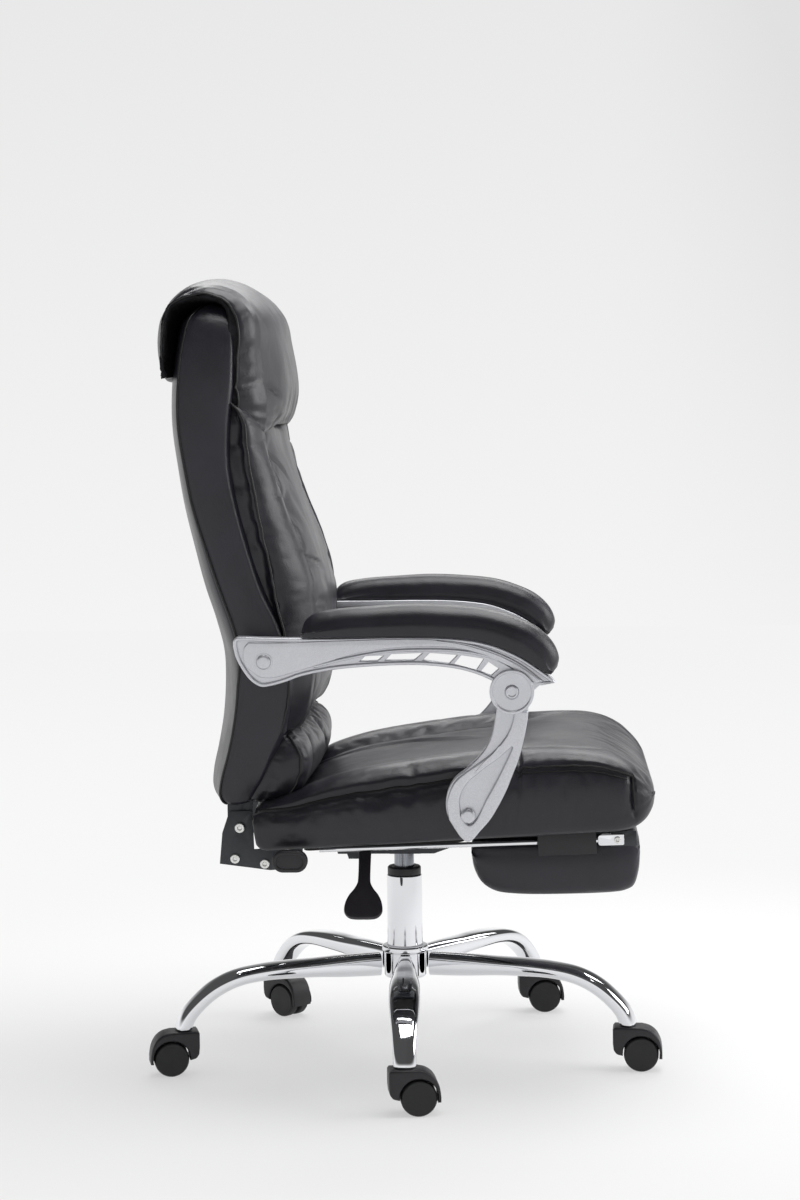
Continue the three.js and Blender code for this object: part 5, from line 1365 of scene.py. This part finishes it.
# %% Drawing a leg
def turn_selected(angle, centre):
    """Turns what is selected about the Y axis. With no window the operator turns the other way."""
    bpy.ops.transform.rotate(value=angle, orient_axis="Y", center_override=centre)


def leg_blank(name):
    bpy.ops.object.select_all(action="DESELECT")
    bpy.ops.mesh.primitive_plane_add(size=2, location=(0, 0, 0))
    leg = bpy.context.active_object
    leg.name = name
    bpy.ops.object.mode_set(mode="EDIT")
    bpy.ops.mesh.select_all(action="SELECT")
    bpy.ops.mesh.delete(type="ONLY_FACE")
    bpy.ops.mesh.select_all(action="SELECT")
    bpy.ops.mesh.bevel(offset=0.72, segments=4, affect="VERTICES", profile=0.55)
    bpy.ops.mesh.select_all(action="SELECT")
    bpy.ops.mesh.remove_doubles(threshold=0.0001)
    bpy.ops.object.mode_set(mode="OBJECT")
    leg.rotation_euler = (0, math.pi / 2, 0)
    bpy.ops.object.transform_apply(rotation=True)
    return leg


def draw_leg(name):
    leg = leg_blank(name)
    bpy.ops.object.mode_set(mode="EDIT")
    bpy.ops.mesh.select_all(action="SELECT")
    thick, wide, _ = leg_size[0] * MM
    bpy.ops.transform.resize(value=(1, wide, thick), center_override=(0, 0, 0))
    bpy.ops.transform.translate(value=leg_places[0])
    slope = 0.0
    for k in range(1, len(stations)):
        here = leg_places[k]
        bpy.ops.mesh.extrude_region_move(TRANSFORM_OT_translate={"value": here - leg_places[k - 1]})
        turn_selected(-slope * turn_sign, here)
        grow = leg_size[k] / leg_size[k - 1]
        bpy.ops.transform.resize(value=(1, grow[1], grow[0]), center_override=here)
        slope = slopes[k]
        turn_selected(slope * turn_sign, here)
    bpy.ops.mesh.edge_face_add()
    bpy.ops.mesh.inset(thickness=0.004)
    bpy.ops.object.mode_set(mode="OBJECT")
    turn_faces_out(leg)
    return leg


def turning_way():
    """Finds which way transform.rotate turns here, on a throwaway plane."""
    bpy.ops.object.select_all(action="DESELECT")
    bpy.ops.mesh.primitive_plane_add(size=2, location=(0, 0, 0))
    trial = bpy.context.active_object
    bpy.ops.object.mode_set(mode="EDIT")
    bpy.ops.mesh.select_all(action="SELECT")
    turn_selected(0.5, (0, 0, 0))
    bpy.ops.object.mode_set(mode="OBJECT")
    ahead_point = max((vertex.co for vertex in trial.data.vertices), key=lambda co: co.x)
    way = 1.0 if ahead_point.z > 0 else -1.0
    bpy.data.objects.remove(trial)
    return way


turn_sign = turning_way()
leg = draw_leg("base_leg_shell")
print("turning sign", turn_sign, "leg spans", [round(value, 3) for value in leg.dimensions])

# %% [markdown]
# One leg is enough. It is rounded off, copied four times, and each copy is turned to its own place in the
# star. The copies have meshes of their own, so that each can be placed for good.

# %% Five legs
first_leg_angle, leg_step = math.radians(-87.7), math.radians(72)


def five_of(piece, name):
    """The piece, as number 1, and four copies of it."""
    pieces = [piece]
    for _ in range(4):
        twin = piece.copy()
        twin.data = piece.data.copy()
        bpy.context.scene.collection.objects.link(twin)
        pieces.append(twin)
    for k, each in enumerate(pieces, 1):
        each.name = each.data.name = f"{name}_{k}"
    return pieces


smoother = leg.modifiers.new("round_off", "SUBSURF")
smoother.levels = smoother.render_levels = 2
finish_modifiers(leg)
leg.data.shade_smooth()
leg.data.materials.append(chrome)
for k, piece in enumerate(five_of(leg, "base_leg_shell")):
    pick(piece)
    piece.rotation_euler = (0, 0, first_leg_angle + k * leg_step)
    piece.location = spot(0, 0, 0)
    bpy.ops.object.transform_apply(location=True, rotation=True)
    settle(piece, "base", "chrome", f"base_leg_{k + 1}")

# %% [markdown]
# ## Casters
# A caster is a domed hood with a stem and a pair of wheels beneath it. The hood is a plate as wide as
# the two wheels, drawn from the side and bevelled hard, so that it looks moulded. The wheels are spun.

# %% Plates from outlines
def smooth_outline(points, per=6):
    """A smooth open line through points, with per steps between each pair."""
    count = (len(points) - 1) * per + 1
    return [tuple(point) for point in smooth_line(points, np.linspace(0, 1, count))]


def arc(centre, radius, start, end, count):
    """Points on an arc, with angles in degrees."""
    angles = np.radians(np.linspace(start, end, count))
    return [(centre[0] + radius * math.cos(a), centre[1] + radius * math.sin(a)) for a in angles]


def plate(name, loops, low, high, finish, bevel=1.0, bevel_steps=2):
    """A plate that stands in the XZ plane between two places on Y, all in chair millimetres."""
    sketch = bpy.data.curves.new(name, "CURVE")
    sketch.dimensions = "2D"
    sketch.fill_mode = "BOTH"
    sketch.extrude = ((high - low) / 2 - bevel) * MM
    sketch.bevel_depth = bevel * MM
    sketch.bevel_resolution = bevel_steps
    sketch.offset = -bevel * MM
    for loop in loops:
        spline = sketch.splines.new("POLY")
        spline.points.add(len(loop) - 1)
        for point, (x, z) in zip(spline.points, loop):
            point.co = (x * MM, z * MM, 0, 1)
        spline.use_cyclic_u = True
    piece = bpy.data.objects.new(name, sketch)
    bpy.context.scene.collection.objects.link(piece)
    pick(piece)
    bpy.ops.object.convert(target="MESH")
    piece = bpy.context.active_object
    piece.rotation_euler = (math.pi / 2, 0, 0)
    piece.location = spot(0, (low + high) / 2, 0)
    bpy.ops.object.transform_apply(location=True, rotation=True, scale=True)
    turn_faces_out(piece)
    piece.data.materials.clear()
    piece.data.materials.append(finish)
    pick(piece)
    bpy.ops.object.shade_smooth_by_angle(angle=math.radians(35))
    return piece


print("a quarter arc of four points", [(round(x, 2), round(z, 2)) for x, z in arc((0, 0), 1, 0, 90, 4)])

# %% [markdown]
# The hood is round in front, falls steeply behind and is open below, where its edge runs close round the
# wheels. A web between the wheels carries their axle. One caster is made and copied four times. Each copy
# is turned about its stem by a little of its own, because casters that have rolled never line up.

# %% Caster hood and wheels
wheel_radius, trail, hood_half = 24, 17, 18.5
caster_turns = [math.radians(angle) for angle in (8, -3, 5, -41, 193)]


def caster_outline():
    crown = caster_high - 0.3 - wheel_radius
    clear = wheel_radius + 1.6
    neck = -trail + 17.6
    nose = smooth_outline([(29, -6), (28.6, 6), (26, 18), (20, 28.5), (11, 35), (neck, crown)], 4)
    heel = [(-36.5, crown), (-39, crown - 3), (-39, crown * 0.4)]
    heel += smooth_outline([(-38, 6), (-34, 0.5), (-clear, -2)], 3)
    return nose + heel + arc((0, 0), clear, 184.5, -13.6, 26)


def wheel_profile():
    inner, outer = 3.8, 19.8
    half = [(0, outer - 1.9), (7.5, outer - 1.7), (17, outer - 1.4), (19.5, outer - 1.6), (22, outer - 1.2)]
    half += [(24, outer - 4.5), (24, inner + 1.5), (22.5, inner), (4.2, inner)]
    return rounded(half + [(radius, -side) for radius, side in reversed(half)], 1.4, 3)


hood = plate("caster_hood", [caster_outline()], -hood_half, hood_half, nylon, bevel=3.2, bevel_steps=4)
web_outline = [(-17, 22), (-8, 0)] + arc((0, 0), 8, 180, 360, 10) + [(8, 24)]
web = plate("caster_web", [web_outline], -3.5, 3.5, nylon, 0.5)
stem_profile = rounded([(0, 30), (5.5, 30), (5.5, 49), (4.6, 50), (0, 50)], 0.6)
stem = turned("caster_stem", stem_profile, zinc, (-trail, 0, 0), steps=24)
skirt_profile = rounded([(0, 34), (13.5, 34), (13, 37.6), (9.5, 37.8), (0, 37.8)], 1.0)
skirt = turned("caster_skirt", skirt_profile, nylon, (-trail, 0, 0), steps=40)
hoods = five_of(joined("caster_hood_shell", [hood, web, skirt, stem]), "caster_hood_shell")
pairs = five_of(turned_out("caster_wheel_pair", wheel_profile(), tyre, (0, 0), -1, 64), "caster_wheel_pair")
for k, heading in enumerate(caster_turns):
    angle = first_leg_angle + k * leg_step
    stand = spot(stem_circle * math.cos(angle), stem_circle * math.sin(angle), wheel_radius)
    to_stem = Matrix.Translation(stand) @ Matrix.Rotation(heading, 4, "Z") @ Matrix.Translation((trail * MM, 0, 0))
    for piece, body, node in ((hoods[k], "caster", "caster_hood"), (pairs[k], "wheels", "caster_wheels")):
        piece.data.transform(to_stem @ Matrix.Translation(-spot(0, 0, 0)))
        settle(piece, f"{body}_{k + 1}", "plastic", f"{node}_{k + 1}")

# %% [markdown]
# ## Arm frames
# Each arm is a light alloy casting: a flat web with five slanted windows, a raised field that runs from
# the rear paddle along the top, and a thin raised rim under the windows. We cut the web from an outline
# with holes, and lay the field and the rim on its outer face as thinner plates with rounded edges.

# %% Arm outlines
def arm_spots(shares):
    return [(arm_bolt[0] + x * arm_size[0], arm_bolt[1] + z * arm_size[1]) for x, z in shares]


arm_joint = arm_spots([(0.8325, -0.554)])[0]
arm_top = arm_spots([
    (-0.058, 0.438), (0.02, 0.42), (0.129, 0.408), (0.258, 0.405), (0.459, 0.415), (0.626, 0.388), (0.727, 0.32),
    (0.794, 0.212), (0.861, 0.05), (0.928, -0.18), (0.969, -0.338),
])
arm_low = arm_spots([
    (0.771, -0.378), (0.727, -0.27), (0.66, -0.162), (0.559, -0.09), (0.459, -0.078), (0.325, -0.108),
    (0.222, -0.162), (0.121, -0.27), (0.07, -0.365), (0.021, -0.432), (-0.008, -0.446), (-0.041, -0.351),
    (-0.07, -0.162), (-0.093, 0.068), (-0.1025, 0.26),
])
arm_nose = arm_spots([(0.978, -0.41), (0.93, -0.455), (0.88, -0.4)])
arm_slots = [arm_spots(shares) for shares in (
    [(0.322, -0.012), (0.381, -0.005), (0.405, 0.09), (0.342, 0.085)],
    [(0.407, 0), (0.505, 0.004), (0.536, 0.13), (0.43, 0.115)],
    [(0.534, 0), (0.621, -0.068), (0.652, 0.09), (0.559, 0.13)],
    [(0.637, -0.081), (0.712, -0.19), (0.74, 0.02), (0.664, 0.085)],
    [(0.727, -0.21), (0.762, -0.285), (0.79, -0.16), (0.755, -0.035)],
)]
arm_outline = smooth_outline(arm_top, 6) + arm_nose + arc(arm_joint, 26, -5, -205, 30) + smooth_outline(arm_low, 6)
arm_outline += arc((-198.6, 616.4), 7.2, 184, 92, 7)
field_low = [
    (-191, 611), (-193, 603), (-190.5, 587), (-181, 577.5), (-170, 570.5), (-154, 570), (-123, 578), (-83, 590),
    (-42, 601.5), (1, 607.5), (42, 609.5), (82, 607.5), (125, 596.5), (150, 584), (171, 571), (187, 560.5),
]
field_top = [
    (199, 562.5), (171, 584.5), (140, 600.5), (94, 614.5), (48, 619.3), (2, 620), (-42, 619), (-91, 618),
    (-154, 616), (-186, 616.5),
]
field_outline = smooth_outline(field_low, 5) + smooth_outline(field_top, 5)
print("arm outline", len(arm_outline), "points")

# %% [markdown]
# The rim is a strip of even width between the outline and a second line inside it. Each point of the outline
# moves inwards at a right angle, and points that would come too close to another stretch are dropped.

# %% Lines set in from an outline
def set_in(loop, distance):
    """A closed line that runs inside another at an even distance."""
    points = np.asarray(loop, float)
    points = points[np.linalg.norm(points - np.roll(points, 1, 0), axis=1) > 0.05]
    ahead_of, behind = np.roll(points, -1, 0), np.roll(points, 1, 0)
    run = ahead_of - behind
    run = run / np.maximum(1e-6, np.linalg.norm(run, axis=1))[:, None]
    area = np.sum(points[:, 0] * ahead_of[:, 1] - ahead_of[:, 0] * points[:, 1])
    inward = np.c_[-run[:, 1], run[:, 0]] * (1 if area > 0 else -1)
    moved = points + inward * distance
    gaps = np.linalg.norm(moved[:, None, :] - points[None, :, :], axis=2).min(axis=1)
    return [tuple(point) for point in moved[gaps > distance * 0.96]]


print("inner line", len(set_in(arm_outline, 5)), "points")

# %% [markdown]
# Each arm is put together from thin layers, which are named by how far they lie from the chair's middle. A
# bead and a crest are laid along the field as half-sunk cords, and a ring frames the rear bolt.

# %% Arm castings
def layer(name, loops, side, low, high, finish, bevel, steps=3):
    """A plate whose faces lie low and high millimetres out from the middle of the chair, on one side."""
    near, far = sorted((side * low, side * high))
    return plate(name, loops, near, far, finish, bevel=bevel, bevel_steps=steps)


def cord_on(name, points, side, out, radius):
    """A silver cord along points in the side view, at one distance from the chair's middle."""
    return piping(name, [spot(x, side * out, z) for x, z in points], radius, silver)


def arm_casting(name, side):
    web = layer("arm_web", [arm_outline] + arm_slots, side, arm_inner, arm_outer - 3.4, silver, 0.9, 2)
    rim = layer("arm_rim", [arm_outline, set_in(arm_outline, 5)], side, arm_outer - 5, arm_outer - 0.5, silver, 1.9, 4)
    field = layer("arm_field", [field_outline], side, arm_outer - 5, arm_outer, silver, 1.7, 4)
    crest_line = smooth_outline([(60, 616.5), (94, 611), (140, 596.5), (171, 580.5), (195, 562.5)], 8)
    bead_line = smooth_outline([
        (-101, 584), (-60, 594), (-7, 603), (38, 605), (90, 603), (129, 595), (155, 583), (176, 567),
    ], 8)
    bead = cord_on("arm_bead", bead_line, side, arm_outer - 2.6, 2.1)
    crest = cord_on("arm_crest", crest_line, side, arm_outer - 0.2, 1.0)
    low, high = arm_outer - 1, arm_outer + 0.9
    frame_ring = ring([(9.6, low), (9.6, high), (11.6, high), (11.6, low)], 0.4)
    bolt_ring = turned_out("arm_ring", frame_ring, silver, arm_bolt, side, 48)
    return joined(name, [web, rim, field, bead, crest, bolt_ring])


def pad_tray(name, side):
    """A low lip along the inner side of the pad, level with its lower edge."""
    low_line = [(x, z) for x, z, _, _, _ in arm_rows[1:-2]]
    upper = smooth_outline([(x, z + 5) for x, z in low_line], 4)
    lower = smooth_outline([(x - (0 if x < 150 else 4), z - 3) for x, z in reversed(low_line)], 4)
    return layer(name, [upper + lower], side, 253.5, 258, silver, 1.2)


for name, side in SIDES:
    settle(arm_casting(f"arm_casting_{name}", side), f"arm_{name}", "silver", f"arm_frame_{name}")
    settle(pad_tray(f"arm_pad_tray_{name}", side), f"arm_{name}", "silver")

# %% [markdown]
# ## Links, discs and caps
# The link is a leaf-shaped casting between the seat and the arm. Its field is sunk inside a broad rim,
# and a crease runs up its neck. A round disc covers the joint at the top, and plain caps cover the bolts.

# %% Link castings
link_bolt = (98, 385)
link_span = (arm_joint[0] - link_bolt[0], arm_joint[1] - link_bolt[1])
link_edge = [(link_bolt[0] + x * link_span[0], link_bolt[1] + z * link_span[1]) for x, z in (
    (0.644, 0.842), (0.61, 0.764), (0.542, 0.648), (0.407, 0.545), (0.186, 0.448), (-0.051, 0.37), (-0.288, 0.303),
    (-0.424, 0.224), (-0.492, 0.127), (-0.492, 0.048), (-0.424, -0.03), (-0.288, -0.109), (-0.153, -0.176),
    (-0.034, -0.206), (0.085, -0.194), (0.254, -0.127), (0.492, -0.03), (0.661, 0.067), (0.864, 0.206),
    (1, 0.327), (1.136, 0.448), (1.254, 0.606), (1.339, 0.764), (1.356, 0.83),
)]
link_outline = smooth_outline(link_edge, 5) + arc(arm_joint, 24, -25, 205, 30)
link_field = smooth_outline([
    (156, 476), (139, 461), (113, 442), (95, 425), (87.5, 408), (88, 392), (93, 379), (100, 373.5), (108, 380),
    (122, 407), (137, 434), (151, 462), (158, 478),
], 6)
link_inner, link_outer = 264, 281
link_step = smooth_outline([
    (160, 524), (158, 512), (153, 498), (146, 486), (132, 470), (113, 455), (93, 441.5), (80, 429), (72.5, 412),
    (70, 401),
], 5)
link_front = link_step + smooth_outline(link_edge[10:], 5)
link_crease = smooth_outline([(108, 442), (120, 456), (133, 468), (140, 477)], 6)
disc_profile = rounded([
    (0, 298.4), (8, 298.4), (9.4, 299.6), (24.6, 299.4), (25.8, 300.9), (29, 300.6), (29, 292.7), (0, 292.7),
], 0.9)
dome_profile = rounded([(0, 301.8), (5.4, 301.6), (6, 302.6), (7.6, 302.4), (8.6, 301), (8.8, 298.4), (0, 298.4)], 0.7)


def link_casting(name, side):
    body = layer("link_body", [link_outline], side, link_inner, link_outer - 6.5, silver, 2.6, 4)
    rim = layer("link_rim", [link_front, link_field[:-1]], side, link_outer - 9, link_outer, silver, 2.6, 5)
    crease = cord_on("link_crease", link_crease, side, link_outer - 0.6, 1.2)
    pin_profile = rounded([(0, link_inner), (6, link_inner), (6, arm_outer), (0, arm_outer)], 0.4)
    pin = turned_out("link_pin", pin_profile, silver, arm_joint, side, 32)
    return joined(name, [body, rim, crease, pin])


def joint_disc(name, side):
    disc = turned_out("disc", disc_profile, silver, arm_joint, side, 72)
    dome = turned_out("disc_dome", dome_profile, silver, arm_joint, side, 40)
    return joined(name, [disc, dome])


for name, side in SIDES:
    settle(link_casting(f"link_casting_{name}", side), f"link_{name}", "silver", f"arm_link_{name}")
    settle(joint_disc(f"joint_disc_{name}_turned", side), f"link_{name}", "silver", f"joint_disc_{name}")

# %% [markdown]
# The arm's rear bolt and the link's lower bolt are alike: a pin, a bush that fills the gap behind the
# casting, and a domed cap outside. One function makes both.

# %% Bolts with caps
def capped_pin(name, side, start, bush, outside, centre):
    """A pin from start, with a bush between two heights and a domed cap outside."""
    low, high = bush
    shank_profile = [(0, start), (6, start), (6, outside + 1), (0, outside + 1)]
    bush_profile = ring([(6, low), (9.25, low), (9.25, high), (6, high)], 0.6)
    cap_profile = rounded([
        (0, outside + 3.3), (6.8, outside + 3.1), (9.25, outside + 1.6), (9.25, outside + 0.3), (0, outside + 0.3),
    ], 1.1)
    shank = turned_out("pin_shank", shank_profile, silver, centre, side, 32)
    sleeve = turned_out("pin_bush", bush_profile, nylon, centre, side, 40)
    cap = turned_out("pin_cap", cap_profile, silver, centre, side, 48)
    return joined(name, [shank, sleeve, cap])


for name, side in SIDES:
    rear = capped_pin(f"arm_pin_{name}_capped", side, 222, (240.3, 270.1), arm_outer, arm_bolt)
    settle(rear, "backrest", "silver", f"arm_pin_{name}")
    low = capped_pin(f"link_pin_{name}_capped", side, 237, (255.3, 263.7), link_outer, link_bolt)
    settle(low, "seat", "silver", f"link_pin_{name}")

# %% [markdown]
# ## Parts that keep their shape
# Brackets, hinge plates, rails, sleeves and boards have the right shape in the frame already,
# but their edges are razor sharp, and real edges catch the light. Each is copied, its loose triangles are
# merged into faces, and its edges get a small bevel.

# %% Softened copies
def softened(node, body, slot, finish, width, steps=2):
    """A copy of a node with bevelled edges."""
    source = frame["nodes"][node]
    piece = source.copy()
    piece.data = source.data.copy()
    piece.name = f"{node}_finished"
    piece.data.name = piece.name
    piece.parent = None
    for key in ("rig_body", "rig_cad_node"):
        if key in piece:
            del piece[key]
    bpy.context.scene.collection.objects.link(piece)
    piece.matrix_world = Matrix.Identity(4)
    piece.data.materials.clear()
    piece.data.materials.append(finish)
    pick(piece)
    bpy.ops.object.mode_set(mode="EDIT")
    bpy.ops.mesh.select_all(action="SELECT")
    bpy.ops.mesh.remove_doubles(threshold=0.00001)
    bpy.ops.mesh.dissolve_limited(angle_limit=math.radians(1.5))
    bpy.ops.mesh.normals_make_consistent(inside=False)
    bpy.ops.object.mode_set(mode="OBJECT")
    bpy.ops.mesh.customdata_custom_splitnormals_clear()
    edge = piece.modifiers.new("edge", "BEVEL")
    edge.width = width * MM
    edge.segments = steps
    edge.limit_method = "ANGLE"
    edge.angle_limit = math.radians(30)
    finish_modifiers(piece)
    bpy.ops.object.shade_smooth_by_angle(angle=math.radians(35))
    return settle(piece, body, slot, node)


for name, _ in SIDES:
    softened(f"recline_bracket_{name}", "seat", "paint", paint, 0.6)
    softened(f"back_hinge_plate_{name}", "backrest", "paint", paint, 0.5)
    softened(f"rail_sleeve_{name}", "seat", "plastic", nylon, 1.2, 3)
    softened(f"footrest_rail_{name}", "footrest_rails", "chrome", chrome, 0.4)
softened("seat_board", "seat", "board", board_stain, 0.8)
softened("footrest_board", "footrest", "paint", paint, 0.5)

# %% [markdown]
# ## Rail tabs
# At its front end each rail is pressed flat, where the bolt of the footrest goes through. The flat is a thin
# rounded tab on the outer face of the rail, drawn round the hinge and laid on the slope of the rails.

# %% Rail tabs
rail_low, rail_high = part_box("footrest_rail_right")
rail_out = abs((rail_low.y + rail_high.y) / 2 - column.y) / MM
tab_outline = arc((-22.3, 3.1), 4, 180, 90, 6) + arc((6.7, 5.2), 2, 90, 0, 4)
tab_outline += arc((6.7, -5.2), 2, 0, -90, 4) + arc((-22.3, -3.1), 4, 270, 180, 6)
tab_outline = [sloped(x, z, rail_tilt, foot_hinge) for x, z in tab_outline]
for name, side in SIDES:
    tab = layer(f"footrest_rail_tab_{name}", [tab_outline], side, rail_out + 1.5, rail_out + 3.8, chrome, 0.5, 2)
    settle(tab, "footrest_rails", "chrome")

# %% [markdown]
# ## The control box
# The control box under the seat is a pressed tray that tapers downwards, with a boss round the piston and
# a small hinge block for the lever. It keeps to the room of its plain part.

# %% Control box
low_corner, high_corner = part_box("control_box")
box_rear, box_front = (low_corner.x - column.x) / MM + 1, (high_corner.x - column.x) / MM - 1
box_half = (high_corner.y - low_corner.y) / MM / 2 - 1
box_top, box_foot = high_corner.z / MM - 0.6, low_corner.z / MM + 11
tray_outline = [
    (box_rear + 10, box_foot), (box_front - 34, box_foot), (box_front - 6, box_foot + 10), (box_front, box_top),
    (box_rear, box_top),
]
boss_outline = [(-19, box_foot - 7.5), (25, box_foot - 7.5), (30, box_foot + 2), (-24, box_foot + 2)]
block_outline = [(-74, box_foot - 7), (-54, box_foot - 7), (-51, box_foot + 2), (-77, box_foot + 2)]
control_parts = [
    plate("control_tray", [tray_outline], -box_half, box_half, paint, bevel=3, bevel_steps=4),
    plate("control_boss", [boss_outline], -26, 26, paint, bevel=2, bevel_steps=3),
    plate("lever_hinge", [block_outline], -box_half + 1, -34, paint, bevel=2, bevel_steps=3),
]
settle(joined("control_box_finished", control_parts), "seat", "paint", "control_box")
print("control box from", round(box_rear), "to", round(box_front))

# %% [markdown]
# ## Bolts
# The brackets are held by round-headed bolts with a hexagon socket. Each head starts as a short cylinder.
# Its outer face is inset and raised a little, for the dome, and inset again and pushed in, for the socket.

# %% A bolt head
def socket_head(name, centre, radius, high, start, side):
    """A domed head with a socket, which stands out from start on one side of the chair."""
    bpy.ops.object.select_all(action="DESELECT")
    bpy.ops.mesh.primitive_cylinder_add(vertices=36, radius=radius * MM, depth=high * MM, end_fill_type="NGON")
    head = bpy.context.active_object
    head.name = name
    bpy.ops.object.mode_set(mode="EDIT")
    bpy.ops.mesh.select_all(action="DESELECT")
    bpy.ops.object.mode_set(mode="OBJECT")
    for face in head.data.polygons:
        face.select = face.normal.z > 0.9
    bpy.ops.object.mode_set(mode="EDIT")
    bpy.ops.mesh.select_mode(type="FACE")
    bpy.ops.mesh.inset(thickness=radius * 0.16 * MM)
    bpy.ops.transform.translate(value=(0, 0, 0.5 * MM))
    bpy.ops.mesh.inset(thickness=radius * 0.36 * MM)
    bpy.ops.mesh.extrude_region_move(TRANSFORM_OT_translate={"value": (0, 0, -high * 0.6 * MM)})
    bpy.ops.transform.resize(value=(0.82, 0.82, 1))
    bpy.ops.object.mode_set(mode="OBJECT")
    head.rotation_euler = (-side * math.pi / 2, 0, 0)
    head.location = spot(centre[0], side * (start + high / 2), centre[1])
    bpy.ops.object.transform_apply(location=True, rotation=True, scale=True)
    head.data.materials.append(zinc)
    edge = head.modifiers.new("edge", "BEVEL")
    edge.width = 0.35 * MM
    edge.segments = 2
    edge.angle_limit = math.radians(35)
    finish_modifiers(head)
    bpy.ops.object.shade_smooth_by_angle(angle=math.radians(35))
    return head


print("the heads are made of", zinc.name)

# %% [markdown]
# The recline bolts go right through the brackets, with a round head inside and a socket head outside, and
# two small bolts beside each hold the bracket to the seat. The footrest turns on a third pair, with a dark
# nylon ring between the head and the rail tab.

# %% All the bolts
rod_spot = (recline_pivot[0] + 64, recline_pivot[1] - 34)
tab_face = rail_out + 3.7
for name, side in SIDES:
    shank = turned_out("recline_shank", [(0, 184), (4.7, 184), (4.7, 199), (0, 199)], zinc, recline_pivot, side, 32)
    back_profile = rounded([(0, 183.5), (6.7, 183.5), (6.7, 187.4), (0, 187.4)], 0.8)
    back_head = turned_out("recline_back", back_profile, zinc, recline_pivot, side, 32)
    head = socket_head("recline_head", recline_pivot, 6.7, 3.5, 198.3, side)
    whole = joined(f"recline_bolt_{name}_finished", [shank, back_head, head])
    settle(whole, "seat", "zinc", f"recline_bolt_{name}")
    small = [socket_head("bracket_head", centre, 6.4, 3.2, 198.1, side) for centre in ((-218, 316), (-178, 309))]
    settle(joined(f"bracket_bolts_{name}", small), "seat", "zinc")
    near, far = sorted(abs(corner.y - column.y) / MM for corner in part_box(f"footrest_bolt_{name}"))
    pin_profile = [(0, near), (3.5, near), (3.5, far - 2), (0, far - 2)]
    pin = turned_out("foot_pin", pin_profile, zinc, foot_hinge, side, 32)
    foot_head = socket_head("foot_head", foot_hinge, 4.7, 3.6, far - 4.1, side)
    washer_profile = ring([(4.4, tab_face), (4.4, tab_face + 0.8), (6.4, tab_face + 0.8), (6.4, tab_face)], 0.15)
    washer = turned_out("foot_ring", washer_profile, nylon, foot_hinge, side, 48)
    whole = joined(f"footrest_bolt_{name}_finished", [pin, foot_head, washer])
    settle(whole, "footrest_rails", "zinc", f"footrest_bolt_{name}")

# %% [markdown]
# ## Recline handle and its rod
# The recline lock is worked by an oval grip beside the seat, moulded in black plastic on a steel rod that
# runs across to the other bracket. The grip has a shallow dished field on its face.

# %% Handle
def stadium(centre, length, height, count=16):
    """A straight-sided oval."""
    radius = height / 2
    reach = length / 2 - radius
    front = arc((centre[0] + reach, centre[1]), radius, -90, 90, count)
    return front + arc((centre[0] - reach, centre[1]), radius, 90, 270, count)


grip_centre = (rod_spot[0] + 9, rod_spot[1])
grip_rim = [stadium(grip_centre, 44, 26), stadium(grip_centre, 36, 18.5)]
grip_parts = [
    plate("grip_body", [stadium(grip_centre, 47, 29)], -273.4, -259, nylon, bevel=2.6, bevel_steps=4),
    plate("grip_rim", grip_rim, -275, -271, nylon, bevel=0.9, bevel_steps=3),
]
settle(joined("recline_grip", grip_parts), "handle", "plastic", "recline_handle")
rod_profile = rounded([(0, -203), (5, -203), (5, 266), (0, 266)], 0.5)
rod = turned_out("recline_rod_bar", rod_profile, zinc, rod_spot, -1, 40)
nuts = [socket_head("rod_nut", rod_spot, 6.7, 3.7, 198.3, side) for side in (-1, 1)]
settle(joined("recline_rod_finished", [rod] + nuts), "handle", "zinc", "recline_rod")

# %% [markdown]
# ## Lift lever
# The lever that works the gas spring is a steel rod under a moulded cover: a slim shank that slopes out
# and down, and a flat paddle. The paddle is cut from an outline, bevelled, and laid on its slope.

# %% Lever
lever_pivot, lever_out = (-48, -62.5, 312.5), 118
shank_run, blade_run = (26, 36), (40, 47)


def lever_piece():
    """The blade is drawn level from its root, and then turned to point outwards and down its slope."""
    shank_long = math.hypot(*shank_run)
    blade_long = shank_long + math.hypot(*blade_run)
    wide_at = shank_long + (blade_long - shank_long) * 0.62
    edge = smooth_outline([
        (0, 8.5), (shank_long, 8.3), (shank_long + 8, 9.2), (shank_long + 17, 13.5), (shank_long + 26, 20), (wide_at, 25),
        (wide_at + 12, 26), (blade_long - 6, 23.5), (blade_long - 1.5, 18), (blade_long, 9), (blade_long, 0),
    ], 4)
    loop = edge + [(x, -y) for x, y in reversed(edge[:-1])]
    blade = plate("lever_blade", [loop], -3.5, 3.5, lever_nylon, bevel=1.8, bevel_steps=3)
    slope = math.atan2(shank_run[1] + blade_run[1], shank_run[0] + blade_run[0])
    flat = Matrix.Rotation(-math.pi / 2, 4, "Z") @ Matrix.Rotation(-math.pi / 2, 4, "X")
    root = spot(lever_pivot[0], 4.5 - lever_out, lever_pivot[2])
    to_root = Matrix.Translation(root) @ Matrix.Rotation(slope, 4, "X") @ flat
    blade.data.transform(to_root @ Matrix.Translation(-spot(0, 0, 0)))
    rod_profile = rounded([(0, 62.5), (4.5, 62.5), (4.5, lever_out), (0, lever_out)], 1.5)
    rod = turned_out("lever_rod", rod_profile, nylon, (lever_pivot[0], lever_pivot[2]), -1, 32)
    boss_profile = rounded([(0, -8.2), (4.5, -8.2), (4.5, 8.2), (0, 8.2)], 0.5)
    boss = turned("lever_boss", boss_profile, nylon, lever_pivot, "X", 32)
    return joined("lift_lever_moulded", [blade, rod, boss])


settle(lever_piece(), "lever", "plastic", "lift_lever")

# %% [markdown]
